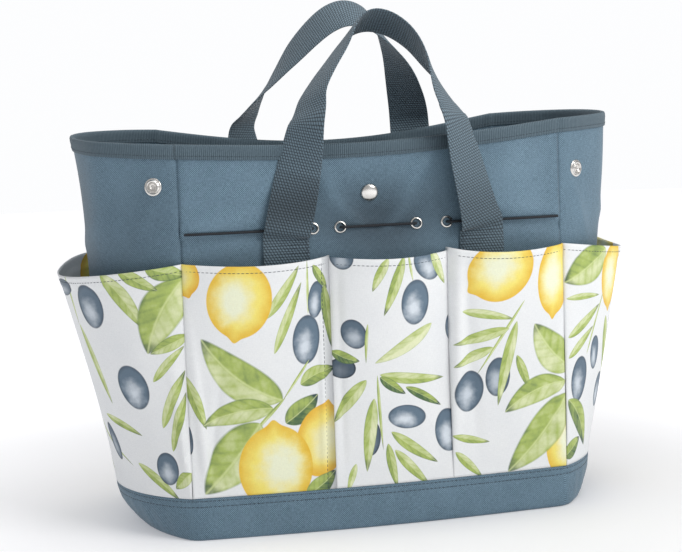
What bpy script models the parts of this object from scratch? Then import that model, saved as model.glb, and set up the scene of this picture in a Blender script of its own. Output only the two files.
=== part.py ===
"""Garden tool bag: an open soft tote with a stiffened base, eight outside pockets,
two webbing handles, snaps, eyelets and two elastic draw cords.

Metres, +Z up. The front face looks along -Y and the bag stands on Z = 0. The
origin is under the middle of the four corner seams; the left end bows out
further than the right one. The rear mirrors the front.
"""
import math

import bmesh
import bpy
from mathutils import Matrix, Vector

# ---- driving dimensions --------------------------------------------------
WIDTH = 0.325            # between the corner seams, along X
DEPTH = 0.190            # between the corner seams, along Y
FRONT_CONVEX = 0.008     # how far the front and rear faces bow out
BULGE_FLOOR = {1: 0.038, -1: 0.036}   # how far the right and left end walls bow out, at the floor
BULGE_BAND = {1: 0.0485, -1: 0.056}   # at the top of the base band, right and left
BULGE_RIM = {1: 0.072, -1: 0.082}    # at the rim: the left end bows out more

CLOTH = 0.0015           # coated canvas of the walls, with its lining
BAND_CLOTH = 0.0030      # doubled canvas of the base band
BAND_PROUD = 0.0015      # the band stands this far outside the walls
BAND_HEIGHT = 0.036
RIM_HEIGHT = 0.334       # the walls' raw top edge at the ends of the bag
GAP = 0.0003             # left between neighbours
SEAM_GAP = 0.0024        # left along the corner seams for the seam's turned edges

BINDING_CLOTH = 0.0009
BINDING_DROP = 0.0105    # how far the binding reaches down each side of the wall

POCKET_CLOTH = 0.0012
POCKET_EDGE = 0.0016     # from a seam line to the cloth's edge
POCKET_FOOT = BAND_HEIGHT + GAP
POCKET_TOP = 0.2305
SEAM_LEFT = -0.0430      # the two seams between the three front pockets
SEAM_RIGHT = 0.0585
FRONT_POCKET_PROUD = 0.019
END_POCKET_PROUD = {1: 0.021, -1: 0.024}

STRAP_WIDTH = 0.038
STRAP_CLOTH = 0.0018
STRAP_FEET = (-0.0770, 0.0900)
FOOT_BOTTOM = 0.186      # lower end of the sewn strap, inside the pocket
FOOT_LINE = 0.2480       # where the strap comes free: the leg's hinge line
LOOP_LINE = 0.3400       # just above the rim: the loop's hinge line
LOOP_OUT = 0.0110        # how far the loop line stands off the wall
HINGE_SETBACK = 0.0010
FOOT_HINGE_OUT = 0.0090   # the leg's hinge line, just outside the sewn straps
LOOP_LEAN = math.radians(25.0)

CORD_RADIUS = 0.00125
CORD_HEIGHT = 0.2540
EYELETS = (-0.0535, -0.0305, 0.0345, 0.0605)
EYELET_BORE = 0.0032
EYELET_FLANGE = 0.0053

SNAP_RADIUS = 0.0075
SNAP_HOLE = 0.0022
CURVE_CLEARANCE = 0.0008  # keeps a flat cap off the hollow side of a curved wall
CENTRE_SNAP = (-0.0050, 0.2815)
END_SNAP_HEIGHT = 0.2935
END_SNAP_FROM_SEAM = 0.0200

BOARD_THICKNESS = 0.003
BASE_CLOTH = 0.002

HALF_WIDTH = WIDTH / 2
HALF_DEPTH = DEPTH / 2
TURNED_STEPS = 16

# ---- clean start ---------------------------------------------------------
for old_object in list(bpy.data.objects):
    bpy.data.objects.remove(old_object, do_unlink=True)

BAG = bpy.data.collections.new("garden_tool_bag")
CUTTERS = bpy.data.collections.new("cutters")
bpy.context.scene.collection.children.link(BAG)
bpy.context.scene.collection.children.link(CUTTERS)


# ---- materials -----------------------------------------------------------
def make_material(name, color, roughness, metallic=0.0):
    material = bpy.data.materials.new(name)
    material.use_nodes = True
    shader = material.node_tree.nodes["Principled BSDF"]
    shader.inputs["Base Color"].default_value = (*color, 1.0)
    shader.inputs["Roughness"].default_value = roughness
    shader.inputs["Metallic"].default_value = metallic
    return material


CANVAS = make_material("canvas", (0.12, 0.20, 0.26), 0.75)
BINDING = make_material("binding", (0.07, 0.12, 0.15), 0.8)
PRINT = make_material("print_cloth", (0.78, 0.80, 0.70), 0.7)
WEBBING = make_material("webbing", (0.08, 0.14, 0.17), 0.85)
NICKEL = make_material("nickel", (0.62, 0.60, 0.57), 0.25, 1.0)
ELASTIC = make_material("elastic", (0.01, 0.01, 0.012), 0.8)
BOARD = make_material("board", (0.05, 0.05, 0.05), 0.6)


# ---- the walls' surface --------------------------------------------------
def bulge(height, end):
    """How far an end wall bows out at a height."""
    if height < BAND_HEIGHT:
        swell = math.sin(math.pi / 2 * max(height, 0.0) / BAND_HEIGHT)
        return BULGE_FLOOR[end] + (BULGE_BAND[end] - BULGE_FLOOR[end]) * swell
    share = (height - BAND_HEIGHT) / (RIM_HEIGHT - BAND_HEIGHT)
    return BULGE_BAND[end] + (BULGE_RIM[end] - BULGE_BAND[end]) * share


def face_point(x, out, height, side):
    """A point on the front (side 1) or rear (side -1) face, moved out from it."""
    bow = FRONT_CONVEX * math.cos(math.pi * x / WIDTH)
    return Vector((x, -side * (HALF_DEPTH + bow + out), height))


def arc_shape(height, end):
    """Radius, half angle and centre of an end wall's arc at a height."""
    sagitta = bulge(height, end)
    radius = (HALF_DEPTH ** 2 + sagitta ** 2) / (2 * sagitta)
    half_angle = math.asin(HALF_DEPTH / radius)
    return radius, half_angle, HALF_WIDTH + sagitta - radius


def end_point(along, out, height, end):
    """A point on the right (end 1) or left (end -1) wall; along runs -1 front to 1 rear."""
    radius, half_angle, centre = arc_shape(height, end)
    angle = along * (half_angle - SEAM_GAP / radius)
    reach = radius + out
    return Vector((end * (centre + reach * math.cos(angle)), reach * math.sin(angle), height))


def rim_height(x, side):
    """Height of a wall's raw top edge: the long faces sag between their corners."""
    slack = math.cos(math.pi * x / WIDTH)
    if side > 0:
        return RIM_HEIGHT - 0.0035 - 0.0085 * slack + 0.005 * x / HALF_WIDTH
    return RIM_HEIGHT + 0.0075 - 0.0175 * slack + 0.002 * x / HALF_WIDTH


def end_rim_height(along, end):
    """Height of an end wall's raw top edge, meeting both long faces."""
    front = rim_height(end * HALF_WIDTH, 1)
    rear = rim_height(end * HALF_WIDTH, -1)
    share = (along + 1) / 2
    swell = 0.003 * (1 - along * along)
    return front + (rear - front) * share * share * (3 - 2 * share) + swell


# ---- builders ------------------------------------------------------------
def link(thing, material, collection=BAG):
    if material:
        thing.data.materials.append(material)
    collection.objects.link(thing)
    return thing


def shade(mesh, angle=40.0):
    for polygon in mesh.polygons:
        polygon.use_smooth = True
    mesh.set_sharp_from_angle(angle=math.radians(angle))


def grid_object(name, point, columns, rows, material):
    """An open sheet through point(u, v), u across and v up, both from 0 to 1."""
    shape = bmesh.new()
    lines = []
    for row in range(rows + 1):
        line = [shape.verts.new(point(column / columns, row / rows)) for column in range(columns + 1)]
        lines.append(line)
    for low, high in zip(lines, lines[1:]):
        for left in range(columns):
            shape.faces.new((low[left], low[left + 1], high[left + 1], high[left]))
    mesh = bpy.data.meshes.new(name)
    shape.to_mesh(mesh)
    shape.free()
    shade(mesh)
    return link(bpy.data.objects.new(name, mesh), material)


def thicken(thing, thickness, offset):
    """Solidify a sheet: offset 1 adds the cloth outside it, -1 inside."""
    solid = thing.modifiers.new("Cloth", "SOLIDIFY")
    solid.thickness = thickness
    solid.offset = offset
    return thing


def section_loft(name, sections, material, closed=False):
    """A closed solid through equal rings of points, capped unless it closes on itself."""
    shape = bmesh.new()
    rings = [[shape.verts.new(point) for point in section] for section in sections]
    pairs = list(zip(rings, rings[1:]))
    if closed:
        pairs.append((rings[-1], rings[0]))
    for first, second in pairs:
        for index in range(len(first)):
            after = (index + 1) % len(first)
            shape.faces.new((first[index], first[after], second[after], second[index]))
    if not closed:
        shape.faces.new(rings[0])
        shape.faces.new(rings[-1])
    bmesh.ops.recalc_face_normals(shape, faces=shape.faces)
    mesh = bpy.data.meshes.new(name)
    shape.to_mesh(mesh)
    shape.free()
    shade(mesh)
    return link(bpy.data.objects.new(name, mesh), material)


def turned(name, profile, seat, material):
    """A body turned about its seat's Z from a profile that runs down its outer side."""
    mesh = bpy.data.meshes.new(name)
    points = [(radius, 0.0, height) for radius, height in profile]
    edges = [(index, index + 1) for index in range(len(points) - 1)]
    if profile[0][0] > 0:
        edges.append((len(points) - 1, 0))
    mesh.from_pydata(points, edges, [])
    thing = link(bpy.data.objects.new(name, mesh), material)
    thing.matrix_world = seat
    screw = thing.modifiers.new("Turn", "SCREW")
    screw.steps = TURNED_STEPS
    screw.render_steps = TURNED_STEPS
    screw.use_merge_vertices = True
    screw.merge_threshold = 0.00002
    return thing


def seat_matrix(point, outward):
    """A seat whose Z looks out of the wall."""
    turn = outward.to_track_quat("Z", "Y").to_matrix().to_4x4()
    return Matrix.Translation(point) @ turn


def drill(thing, seat, radius):
    """Cut a round hole along the seat's Z."""
    shape = bmesh.new()
    bmesh.ops.create_cone(shape, cap_ends=True, segments=TURNED_STEPS, radius1=radius,
                          radius2=radius, depth=0.012, matrix=seat)
    mesh = bpy.data.meshes.new("hole")
    shape.to_mesh(mesh)
    shape.free()
    cutter = link(bpy.data.objects.new("hole", mesh), None, CUTTERS)
    cutter.hide_render = True
    cutter.display_type = "WIRE"
    cut = thing.modifiers.new("Hole", "BOOLEAN")
    cut.operation = "DIFFERENCE"
    cut.solver = "EXACT"
    cut.object = cutter


def face_name(side):
    return "front" if side > 0 else "rear"


def end_name(end):
    return "right" if end > 0 else "left"


# ---- base ----------------------------------------------------------------
def base_outline(inset):
    """The base's plan, inset from the walls, once round from the front left corner."""
    steps = 12
    reach = HALF_WIDTH - 1.2 * inset
    xs = [reach * (2 * index / steps - 1) for index in range(steps + 1)]
    front = [face_point(x, -inset, 0.0, 1) for x in xs]
    rear = [face_point(-x, -inset, 0.0, -1) for x in xs]
    right = [end_point(-1 + 2 * index / steps, -inset, 0.0, 1) for index in range(1, steps)]
    left = [end_point(1 - 2 * index / steps, -inset, 0.0, -1) for index in range(1, steps)]
    return front + right + rear + left


def flat_plate(name, inset, bottom, thickness, material):
    outline = base_outline(inset)
    curve = bpy.data.curves.new(name, "CURVE")
    curve.dimensions = "2D"
    curve.fill_mode = "BOTH"
    curve.extrude = thickness / 2
    spline = curve.splines.new("POLY")
    spline.points.add(len(outline) - 1)
    for point, place in zip(spline.points, outline):
        point.co = (place.x, place.y, 0.0, 1.0)
    spline.use_cyclic_u = True
    plate = link(bpy.data.objects.new(name, curve), material)
    plate.location.z = bottom + thickness / 2
    return plate


flat_plate("base_panel", BAND_CLOTH - BAND_PROUD + GAP, 0.0, BASE_CLOTH, CANVAS)
flat_plate("base_board", 0.006, BASE_CLOTH + GAP, BOARD_THICKNESS, BOARD)

def band_section(point_at):
    """An upright cut through the band, from point_at(out, height)."""
    levels = (0.0, BAND_HEIGHT / 3, BAND_HEIGHT * 2 / 3, BAND_HEIGHT)
    outer = [point_at(BAND_PROUD, height) for height in levels]
    inner = [point_at(BAND_PROUD - BAND_CLOTH, height) for height in reversed(levels)]
    return outer + inner


def face_band(side, steps):
    xs = [(index / steps - 0.5) * (WIDTH - 2 * GAP) for index in range(steps + 1)]
    return [band_section(lambda out, height: face_point(x, out, height, side)) for x in xs]


def end_band(end, steps):
    spots = [2 * index / steps - 1 for index in range(steps + 1)]
    return [band_section(lambda out, height: end_point(along, out, height, end)) for along in spots]


for side in (1, -1):
    section_loft(f"base_band_{face_name(side)}", face_band(side, 14), CANVAS)
for end in (1, -1):
    section_loft(f"base_band_{end_name(end)}", end_band(end, 14), CANVAS)


# ---- walls ---------------------------------------------------------------
def eyelet_seat(x, side):
    return seat_matrix(face_point(x, 0.0, CORD_HEIGHT, side), Vector((0, -side, 0)))


def centre_snap_seat(side):
    return seat_matrix(face_point(CENTRE_SNAP[0], 0.0, CENTRE_SNAP[1], side), Vector((0, -side, 0)))


def end_snap_seat(end, half):
    """half -1 is the wall's front half, 1 its rear half."""
    radius, half_angle, _ = arc_shape(END_SNAP_HEIGHT, end)
    along = half * (1 - END_SNAP_FROM_SEAM / (radius * half_angle))
    point = end_point(along, 0.0, END_SNAP_HEIGHT, end)
    outward = end_point(along, 0.01, END_SNAP_HEIGHT, end) - point
    return seat_matrix(point, outward)


for side in (1, -1):
    def face_wall(u, v, side=side):
        x = side * (u - 0.5) * (WIDTH - 2 * GAP)
        top = rim_height(x, side)
        return face_point(x, 0.0, POCKET_FOOT + v * (top - POCKET_FOOT), side)
    wall = grid_object(f"{face_name(side)}_panel", face_wall, 16, 6, CANVAS)
    thicken(wall, CLOTH, -1)
    for x in EYELETS:
        drill(wall, eyelet_seat(x, side), EYELET_BORE + 0.0010)
    drill(wall, centre_snap_seat(side), SNAP_HOLE)

for end in (1, -1):
    def end_wall(u, v, end=end):
        along = end * (2 * u - 1)
        top = end_rim_height(along, end)
        return end_point(along, 0.0, POCKET_FOOT + v * (top - POCKET_FOOT), end)
    wall = grid_object(f"{end_name(end)}_gusset", end_wall, 18, 6, CANVAS)
    thicken(wall, CLOTH, -1)
    for half in (-1, 1):
        drill(wall, end_snap_seat(end, half), SNAP_HOLE)


# ---- rim binding: one folded tape all round the top ----------------------
def binding_section(point_at, top):
    """A cut through the folded tape, from point_at(out, height), round the raw edge at top."""
    outside = GAP + BINDING_CLOTH
    inside = -CLOTH - GAP - BINDING_CLOTH
    corners = [
        (outside, -BINDING_DROP), (outside, outside), (inside, outside), (inside, -BINDING_DROP),
        (inside + BINDING_CLOTH, -BINDING_DROP), (inside + BINDING_CLOTH, GAP), (GAP, GAP),
        (GAP, -BINDING_DROP),
    ]
    return [point_at(out, top + rise) for out, rise in corners]


def face_binding(side, steps):
    xs = [side * (index / steps - 0.5) * (WIDTH - 2 * SEAM_GAP) for index in range(steps + 1)]
    return [binding_section(lambda out, height: face_point(x, out, height, side),
                            rim_height(x, side)) for x in xs]


def end_binding(end, steps):
    spots = [end * (2 * index / steps - 1) for index in range(steps + 1)]
    return [binding_section(lambda out, height: end_point(along, out, height, end),
                            end_rim_height(along, end)) for along in spots]


section_loft("rim_binding",
             face_binding(1, 16) + end_binding(1, 18) + face_binding(-1, 16) + end_binding(-1, 18),
             BINDING, closed=True)


# ---- pockets: arched sheets, open at the top, flush at the foot ----------
def pocket_lift(u, v, proud, fullness):
    """How far a pocket stands off the wall: nothing at its seams, most at its mouth."""
    return 0.0004 + proud * v ** 1.2 * math.sin(math.pi * min(max(u, 0.0), 1.0)) ** fullness


def pocket_mouth(u, dip):
    return POCKET_TOP - dip * math.sin(math.pi * u)


POCKET_SPANS = {"left": (-HALF_WIDTH, SEAM_LEFT), "middle": (SEAM_LEFT, SEAM_RIGHT),
                "right": (SEAM_RIGHT, HALF_WIDTH)}

for side in (1, -1):
    for place, (start, stop) in POCKET_SPANS.items():
        def face_pocket(u, v, side=side, start=start, stop=stop):
            across = u if side > 0 else 1 - u
            x = start + POCKET_EDGE + across * (stop - start - 2 * POCKET_EDGE)
            height = POCKET_FOOT + v * (pocket_mouth(u, 0.003) - POCKET_FOOT)
            return face_point(x, pocket_lift(u, v, FRONT_POCKET_PROUD, 0.75), height, side)
        pocket = grid_object(f"{face_name(side)}_pocket_{place}", face_pocket, 12, 6, PRINT)
        thicken(pocket, POCKET_CLOTH, 1)

for end in (1, -1):
    def end_pocket(u, v, end=end):
        height = POCKET_FOOT + v * (pocket_mouth(u, 0.011) - POCKET_FOOT)
        lift = pocket_lift(u, v, END_POCKET_PROUD[end], 0.6)
        return end_point(end * (2 * u - 1) * 0.985, lift, height, end)
    pocket = grid_object(f"{end_name(end)}_pocket", end_pocket, 18, 6, PRINT)
    thicken(pocket, POCKET_CLOTH, 1)


# ---- handles -------------------------------------------------------------
def tape_section(centre, tangent, normal, across=None):
    """A cut through the webbing: its width lies square to the tangent and the normal."""
    across = across or tangent.cross(normal).normalized()
    flat = tangent.cross(across).normalized()
    half_width = across * STRAP_WIDTH / 2
    half_cloth = flat * STRAP_CLOTH / 2
    return [centre - half_width - half_cloth, centre + half_width - half_cloth,
            centre + half_width + half_cloth, centre - half_width + half_cloth]


# Centre line of each free leg: height, lift off the wall.
LEG_LINE = ((FOOT_LINE + HINGE_SETBACK, 0.0015), (0.2518, 0.0062), (0.2700, 0.0074),
            (0.2950, 0.0086), (0.3180, 0.0100), (LOOP_LINE - HINGE_SETBACK, LOOP_OUT))

# Each loop's line in its own plane: x, and height up the plane from the loop line.
LOOP_LINES = {
    1: ((-0.0584, 0.0), (-0.0545, 0.012), (-0.0502, 0.0256), (-0.0395, 0.043), (-0.0260, 0.0616),
        (-0.0140, 0.079), (-0.0040, 0.089), (0.0080, 0.0925), (0.0210, 0.089), (0.0330, 0.080),
        (0.0425, 0.067), (0.0520, 0.045), (0.0585, 0.022), (0.0635, 0.009), (0.0665, 0.0)),
    -1: ((-0.0780, 0.0), (-0.0715, 0.0136), (-0.0640, 0.027), (-0.0550, 0.041), (-0.0340, 0.071),
         (-0.0135, 0.095), (0.0030, 0.1085), (0.0190, 0.113), (0.0360, 0.1075), (0.0500, 0.094),
         (0.0640, 0.073), (0.0730, 0.054), (0.0810, 0.029), (0.0850, 0.013), (0.0873, 0.0)),
}


def hinge_y(side):
    """Where a handle's loop line stands, in front of the wall."""
    return -side * (HALF_DEPTH + FRONT_CONVEX + LOOP_OUT)


def strap_foot(side, place, middle):
    def sewn(u, v):
        at = middle + side * (u - 0.5) * STRAP_WIDTH
        return face_point(at, 0.0004, FOOT_BOTTOM + v * (FOOT_LINE - HINGE_SETBACK - FOOT_BOTTOM), side)
    thicken(grid_object(f"{face_name(side)}_strap_foot_{place}", sewn, 6, 3, WEBBING), STRAP_CLOTH, 1)


def strap_leg(side, place, foot_x, loop_x, pivot):
    """The free part of the webbing from the sewn foot to the loop line above the rim."""
    centres = []
    rise = LEG_LINE[-1][0] - LEG_LINE[0][0]
    for height, lift in LEG_LINE:
        share = (height - LEG_LINE[0][0]) / rise
        x = foot_x + (loop_x - foot_x) * share
        out = FRONT_CONVEX * (1 - math.cos(math.pi * x / WIDTH)) * share + lift
        centres.append(face_point(x, out, height, side))
    sections = []
    for index, centre in enumerate(centres):
        before = centres[max(index - 1, 0)]
        after = centres[min(index + 1, len(centres) - 1)]
        tangent = (after - before).normalized()
        sections.append(tape_section(centre, tangent, None, Vector((side, 0, 0))))
    leg = section_loft(f"{face_name(side)}_handle_{place}_leg", sections, WEBBING)
    hang_on(leg, pivot)


def strap_loop(side, line, pivot):
    """The webbing above the rim; it turns on edge towards the top of the loop."""
    up = Vector((0, side * math.sin(LOOP_LEAN), math.cos(LOOP_LEAN)))
    face = Vector((0, -side * math.cos(LOOP_LEAN), math.sin(LOOP_LEAN)))
    foot = Vector((0, hinge_y(side), LOOP_LINE))
    centres = [foot + Vector((x, 0, 0)) + up * max(rise, HINGE_SETBACK) for x, rise in line]
    middle = Vector((0, 0, 0))
    for centre in centres:
        middle += centre / len(centres)
    peak = max(rise for _, rise in line)
    sections = []
    for index, centre in enumerate(centres):
        before = centres[max(index - 1, 0)]
        after = centres[min(index + 1, len(centres) - 1)]
        tangent = (after - before).normalized()
        if index in (0, len(centres) - 1):
            way = 1 if index == 0 else -1
            sections.append(tape_section(centre, tangent, None, Vector((way * side, 0, 0))))
            continue
        outward = tangent.cross(face).normalized()
        if outward.dot(centre - middle) < 0:
            outward.negate()
        turn = math.radians(90) * (line[index][1] / peak) ** 0.6
        normal = face * math.cos(turn) + outward * math.sin(turn)
        sections.append(tape_section(centre, tangent, normal))
    loop = section_loft(f"{face_name(side)}_handle_loop", sections, WEBBING)
    hang_on(loop, pivot)


def pivot_empty(name, place):
    pivot = bpy.data.objects.new(name, None)
    pivot.location = place
    BAG.objects.link(pivot)
    return pivot


def hang_on(thing, pivot):
    """Parent a piece to the empty on its hinge line and keep its place."""
    thing.parent = pivot
    thing.matrix_parent_inverse = Matrix.Translation(pivot.location).inverted()


for side in (1, -1):
    line = LOOP_LINES[side]
    foot_hinge = (0, -side * (HALF_DEPTH + FOOT_HINGE_OUT), FOOT_LINE)
    leg_pivot = pivot_empty(f"{face_name(side)}_leg_pivot", foot_hinge)
    loop_pivot = pivot_empty(f"{face_name(side)}_loop_pivot", (0, hinge_y(side), LOOP_LINE))
    for place, foot_x, loop_x in (("left", STRAP_FEET[0], line[0][0]),
                                  ("right", STRAP_FEET[1], line[-1][0])):
        strap_foot(side, place, foot_x)
        strap_leg(side, place, foot_x, loop_x, leg_pivot)
    strap_loop(side, line, loop_pivot)


# ---- eyelets and draw cords ----------------------------------------------
def eyelet(name, seat):
    """A rolled ring: a flange outside, a barrel through the wall, a flange inside."""
    profile = [(EYELET_BORE, 0.0008), (EYELET_BORE + 0.0009, 0.0012), (EYELET_FLANGE, 0.0006),
               (EYELET_FLANGE, GAP), (EYELET_BORE + 0.0007, GAP),
               (EYELET_BORE + 0.0007, -CLOTH - GAP), (EYELET_FLANGE, -CLOTH - GAP),
               (EYELET_FLANGE, -CLOTH - 0.0007), (EYELET_BORE, -CLOTH - 0.0010)]
    turned(name, profile, seat, NICKEL)


for side in (1, -1):
    for number, x in enumerate(EYELETS, start=1):
        eyelet(f"{face_name(side)}_eyelet_{number}", eyelet_seat(x, side))


# A cord's way in through an eyelet: along the wall, and out from it.
THROUGH_EYELET = ((-0.0036, 0.0031), (-0.0011, 0.0019), (0.0, -0.0008), (0.0011, -0.0035),
                  (0.0036, -0.0047))


def through_eyelet(x, inward):
    """The cord's points through the eyelet at x, going in or coming out."""
    if inward:
        return [(x + along, out) for along, out in THROUGH_EYELET]
    return [(x - along, out) for along, out in reversed(THROUGH_EYELET)]


def cord_route():
    """From seam to seam: outside, in, out, across the middle, in, out, outside."""
    outside = CORD_RADIUS + 0.0006
    end = HALF_WIDTH - 0.003
    first, second, third, fourth = EYELETS
    route = [(-end, outside), (-0.130, outside), (first - 0.014, outside)]
    route += through_eyelet(first, True) + through_eyelet(second, False)
    route += [(second + 0.014, outside), ((second + third) / 2, outside), (third - 0.014, outside)]
    route += through_eyelet(third, True) + through_eyelet(fourth, False)
    route += [(fourth + 0.014, outside), (0.130, outside), (end, outside)]
    return route


def through_points(points, step):
    """Points every step or so along a smooth curve through the given ones."""
    line = []
    for index in range(len(points) - 1):
        p0 = points[max(index - 1, 0)]
        p1, p2 = points[index], points[index + 1]
        p3 = points[min(index + 2, len(points) - 1)]
        count = max(1, round((p2 - p1).length / step))
        for part in range(count):
            t = part / count
            line.append(0.5 * (2 * p1 + (p2 - p0) * t + (2 * p0 - 5 * p1 + 4 * p2 - p3) * t * t
                               + (3 * p1 - p0 - 3 * p2 + p3) * t ** 3))
    line.append(points[-1])
    return line


def draw_cord(side):
    route = [face_point(x, out, CORD_HEIGHT, side) for x, out in cord_route()]
    line = through_points(route, 0.0050)
    curve = bpy.data.curves.new(f"{face_name(side)}_draw_cord", "CURVE")
    curve.dimensions = "3D"
    curve.bevel_depth = CORD_RADIUS
    curve.bevel_resolution = 2
    curve.use_fill_caps = True
    spline = curve.splines.new("POLY")
    spline.points.add(len(line) - 1)
    for point, place in zip(spline.points, line):
        point.co = (*place, 1.0)
    link(bpy.data.objects.new(curve.name, curve), ELASTIC)


for side in (1, -1):
    draw_cord(side)


# ---- snaps: a domed cap with a post on one side of the wall, and a socket
# ---- or a stud held by that post on the other side -----------------------
def snap_cap(name, seat):
    post = CLOTH + 0.0014
    profile = [(0.0, 0.0026), (0.0032, 0.0024), (0.0058, 0.0017), (SNAP_RADIUS, 0.0008),
               (SNAP_RADIUS, 0.0005), (0.0015, 0.0005), (0.0015, -post), (0.0, -post)]
    turned(name, profile, seat, NICKEL)


def snap_socket(name, seat):
    profile = [(0.0032, 0.0024), (0.0040, 0.0030), (0.0052, 0.0027), (0.0056, 0.0014),
               (0.0070, 0.0010), (0.0070, 0.0005), (0.0019, 0.0005), (0.0019, 0.0010),
               (0.0032, 0.0010)]
    turned(name, profile, seat, NICKEL)


def snap_stud(name, seat):
    profile = [(0.0, 0.0044), (0.0022, 0.0042), (0.0028, 0.0034), (0.0024, 0.0018),
               (0.0070, 0.0012), (0.0070, 0.0005), (0.0019, 0.0005), (0.0019, 0.0016),
               (0.0, 0.0016)]
    turned(name, profile, seat, NICKEL)


def inner_seat(seat, clear=0.0):
    """The same place on the wall's inner face, looking in, and clear of its curve."""
    return seat @ Matrix.Translation((0, 0, -CLOTH - clear)) @ Matrix.Rotation(math.pi, 4, "X")


for side, kind in ((1, snap_socket), (-1, snap_stud)):
    seat = centre_snap_seat(side)
    snap_cap(f"centre_snap_{face_name(side)}_cap", seat)
    kind(f"centre_snap_{face_name(side)}_{kind.__name__[5:]}", inner_seat(seat))

for end in (1, -1):
    for half, kind in ((-1, snap_socket), (1, snap_stud)):
        seat = end_snap_seat(end, half)
        place = f"{end_name(end)}_snap_{face_name(-half)}"
        kind(f"{place}_{kind.__name__[5:]}", seat)
        snap_cap(f"{place}_cap", inner_seat(seat, CURVE_CLEARANCE))
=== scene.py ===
import math

import bmesh
import bpy
from mathutils import Matrix, Vector


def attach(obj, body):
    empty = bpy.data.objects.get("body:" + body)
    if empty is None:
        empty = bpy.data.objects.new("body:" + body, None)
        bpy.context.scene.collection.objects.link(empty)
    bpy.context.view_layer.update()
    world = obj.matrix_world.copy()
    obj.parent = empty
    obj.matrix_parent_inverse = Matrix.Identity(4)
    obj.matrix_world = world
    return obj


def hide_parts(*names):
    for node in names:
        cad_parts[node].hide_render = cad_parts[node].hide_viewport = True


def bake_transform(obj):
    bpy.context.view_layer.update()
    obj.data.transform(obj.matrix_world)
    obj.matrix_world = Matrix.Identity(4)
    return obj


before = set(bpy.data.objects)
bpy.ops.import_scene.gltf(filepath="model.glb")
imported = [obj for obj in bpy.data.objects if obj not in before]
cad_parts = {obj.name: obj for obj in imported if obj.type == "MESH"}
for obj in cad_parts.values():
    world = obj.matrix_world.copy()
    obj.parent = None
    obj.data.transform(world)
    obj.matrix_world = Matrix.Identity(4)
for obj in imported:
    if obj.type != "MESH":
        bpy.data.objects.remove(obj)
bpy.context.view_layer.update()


# ---- the view, the light and the table -------------------------------------
# The bag stands on a pale table in a bright room: a broad soft light comes from
# the front right, the rest of the room is white, and the left end is in shade.
camera_data = bpy.data.cameras.new("camera")
camera_data.lens = 74.02
camera_data.sensor_width = 36.0
camera_data.clip_start = 0.05
camera_data.clip_end = 30.0
camera = bpy.data.objects.new("camera", camera_data)
camera.location = (-0.2693, -1.2286, 0.3299)
camera.rotation_euler = (math.radians(84.2406), math.radians(2.1780), math.radians(-12.0947))
bpy.context.scene.collection.objects.link(camera)
bpy.context.scene.camera = camera
bpy.context.scene.view_settings.view_transform = "Standard"


def soft_light(name, place, target, size, power, colour):
    """A square soft light that looks at a target."""
    lamp = bpy.data.lights.new(name, "AREA")
    lamp.shape = "SQUARE"
    lamp.size = size
    lamp.energy = power
    lamp.color = colour
    lamp_object = bpy.data.objects.new(name, lamp)
    way = Vector(target) - Vector(place)
    lamp_object.rotation_euler = way.to_track_quat("-Z", "Y").to_euler()
    lamp_object.location = place
    bpy.context.scene.collection.objects.link(lamp_object)


soft_light("window_light", (0.95, -1.18, 1.25), (0.0, 0.0, 0.18), 0.9, 16.5, (1.0, 0.99, 0.97))
soft_light("top_light", (0.1, -0.1, 1.7), (0.0, 0.0, 0.2), 0.9, 9.0, (1.0, 1.0, 1.0))

room = bpy.data.worlds.new("room")
room.use_nodes = True
bpy.context.scene.world = room


def put(tree, kind, feeds=None, **settings):
    """Add a node, set its properties, then link or fill its sockets."""
    item = tree.nodes.new(kind)
    for name, value in settings.items():
        setattr(item, name, value)
    for key, value in (feeds or {}).items():
        if isinstance(value, bpy.types.NodeSocket):
            tree.links.new(value, item.inputs[key])
        else:
            item.inputs[key].default_value = value
    return item


def calc(tree, operation, first, second=0.0, third=0.0, clamp=False):
    """One Math node's result."""
    item = put(tree, "ShaderNodeMath", {0: first, 1: second, 2: third}, operation=operation)
    item.use_clamp = clamp
    return item.outputs[0]


def times(tree, first, second, clamp=False):
    return calc(tree, "MULTIPLY", first, second, 0.0, clamp)


def scaled(tree, value, factor, plus, clamp=False):
    return calc(tree, "MULTIPLY_ADD", value, factor, plus, clamp)


def noise(tree, place, scale, detail):
    return put(tree, "ShaderNodeTexNoise", {"Vector": place, "Scale": scale, "Detail": detail}).outputs["Fac"]


def ramp_between(tree, value, low, high, smooth=False):
    """0 below low, 1 above high."""
    kind = "SMOOTHSTEP" if smooth else "LINEAR"
    item = put(tree, "ShaderNodeMapRange", {0: value, 1: low, 2: high}, interpolation_type=kind)
    return item.outputs[0]


def mixed(tree, share, first, second):
    """A colour between two colours."""
    item = put(tree, "ShaderNodeMix", {0: share, 6: first, 7: second}, data_type="RGBA")
    return item.outputs[2]


def multiplied(tree, share, first, second):
    """A colour dyed by another one."""
    item = put(tree, "ShaderNodeMix", {0: share, 6: first, 7: second}, data_type="RGBA",
               blend_type="MULTIPLY")
    return item.outputs[2]


def new_material(name, roughness, metallic=0.0, specular=0.5):
    """A node material with its plain shader, and that shader."""
    material = bpy.data.materials.new(name)
    material.use_nodes = True
    shader = material.node_tree.nodes["Principled BSDF"]
    shader.inputs["Roughness"].default_value = roughness
    shader.inputs["Metallic"].default_value = metallic
    shader.inputs["Specular IOR Level"].default_value = specular
    return material, material.node_tree, shader


def object_place(tree):
    return put(tree, "ShaderNodeTexCoord").outputs["Object"]


def cloth_place(tree):
    """The flat cloth in metres, from a piece's own UV map."""
    return put(tree, "ShaderNodeUVMap", uv_map="Cloth").outputs["UV"]


def emboss(tree, shader, height, strength, distance):
    """Raise a surface's fine relief."""
    bump = put(tree, "ShaderNodeBump", {"Height": height, "Strength": strength, "Distance": distance})
    tree.links.new(bump.outputs["Normal"], shader.inputs["Normal"])


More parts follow.
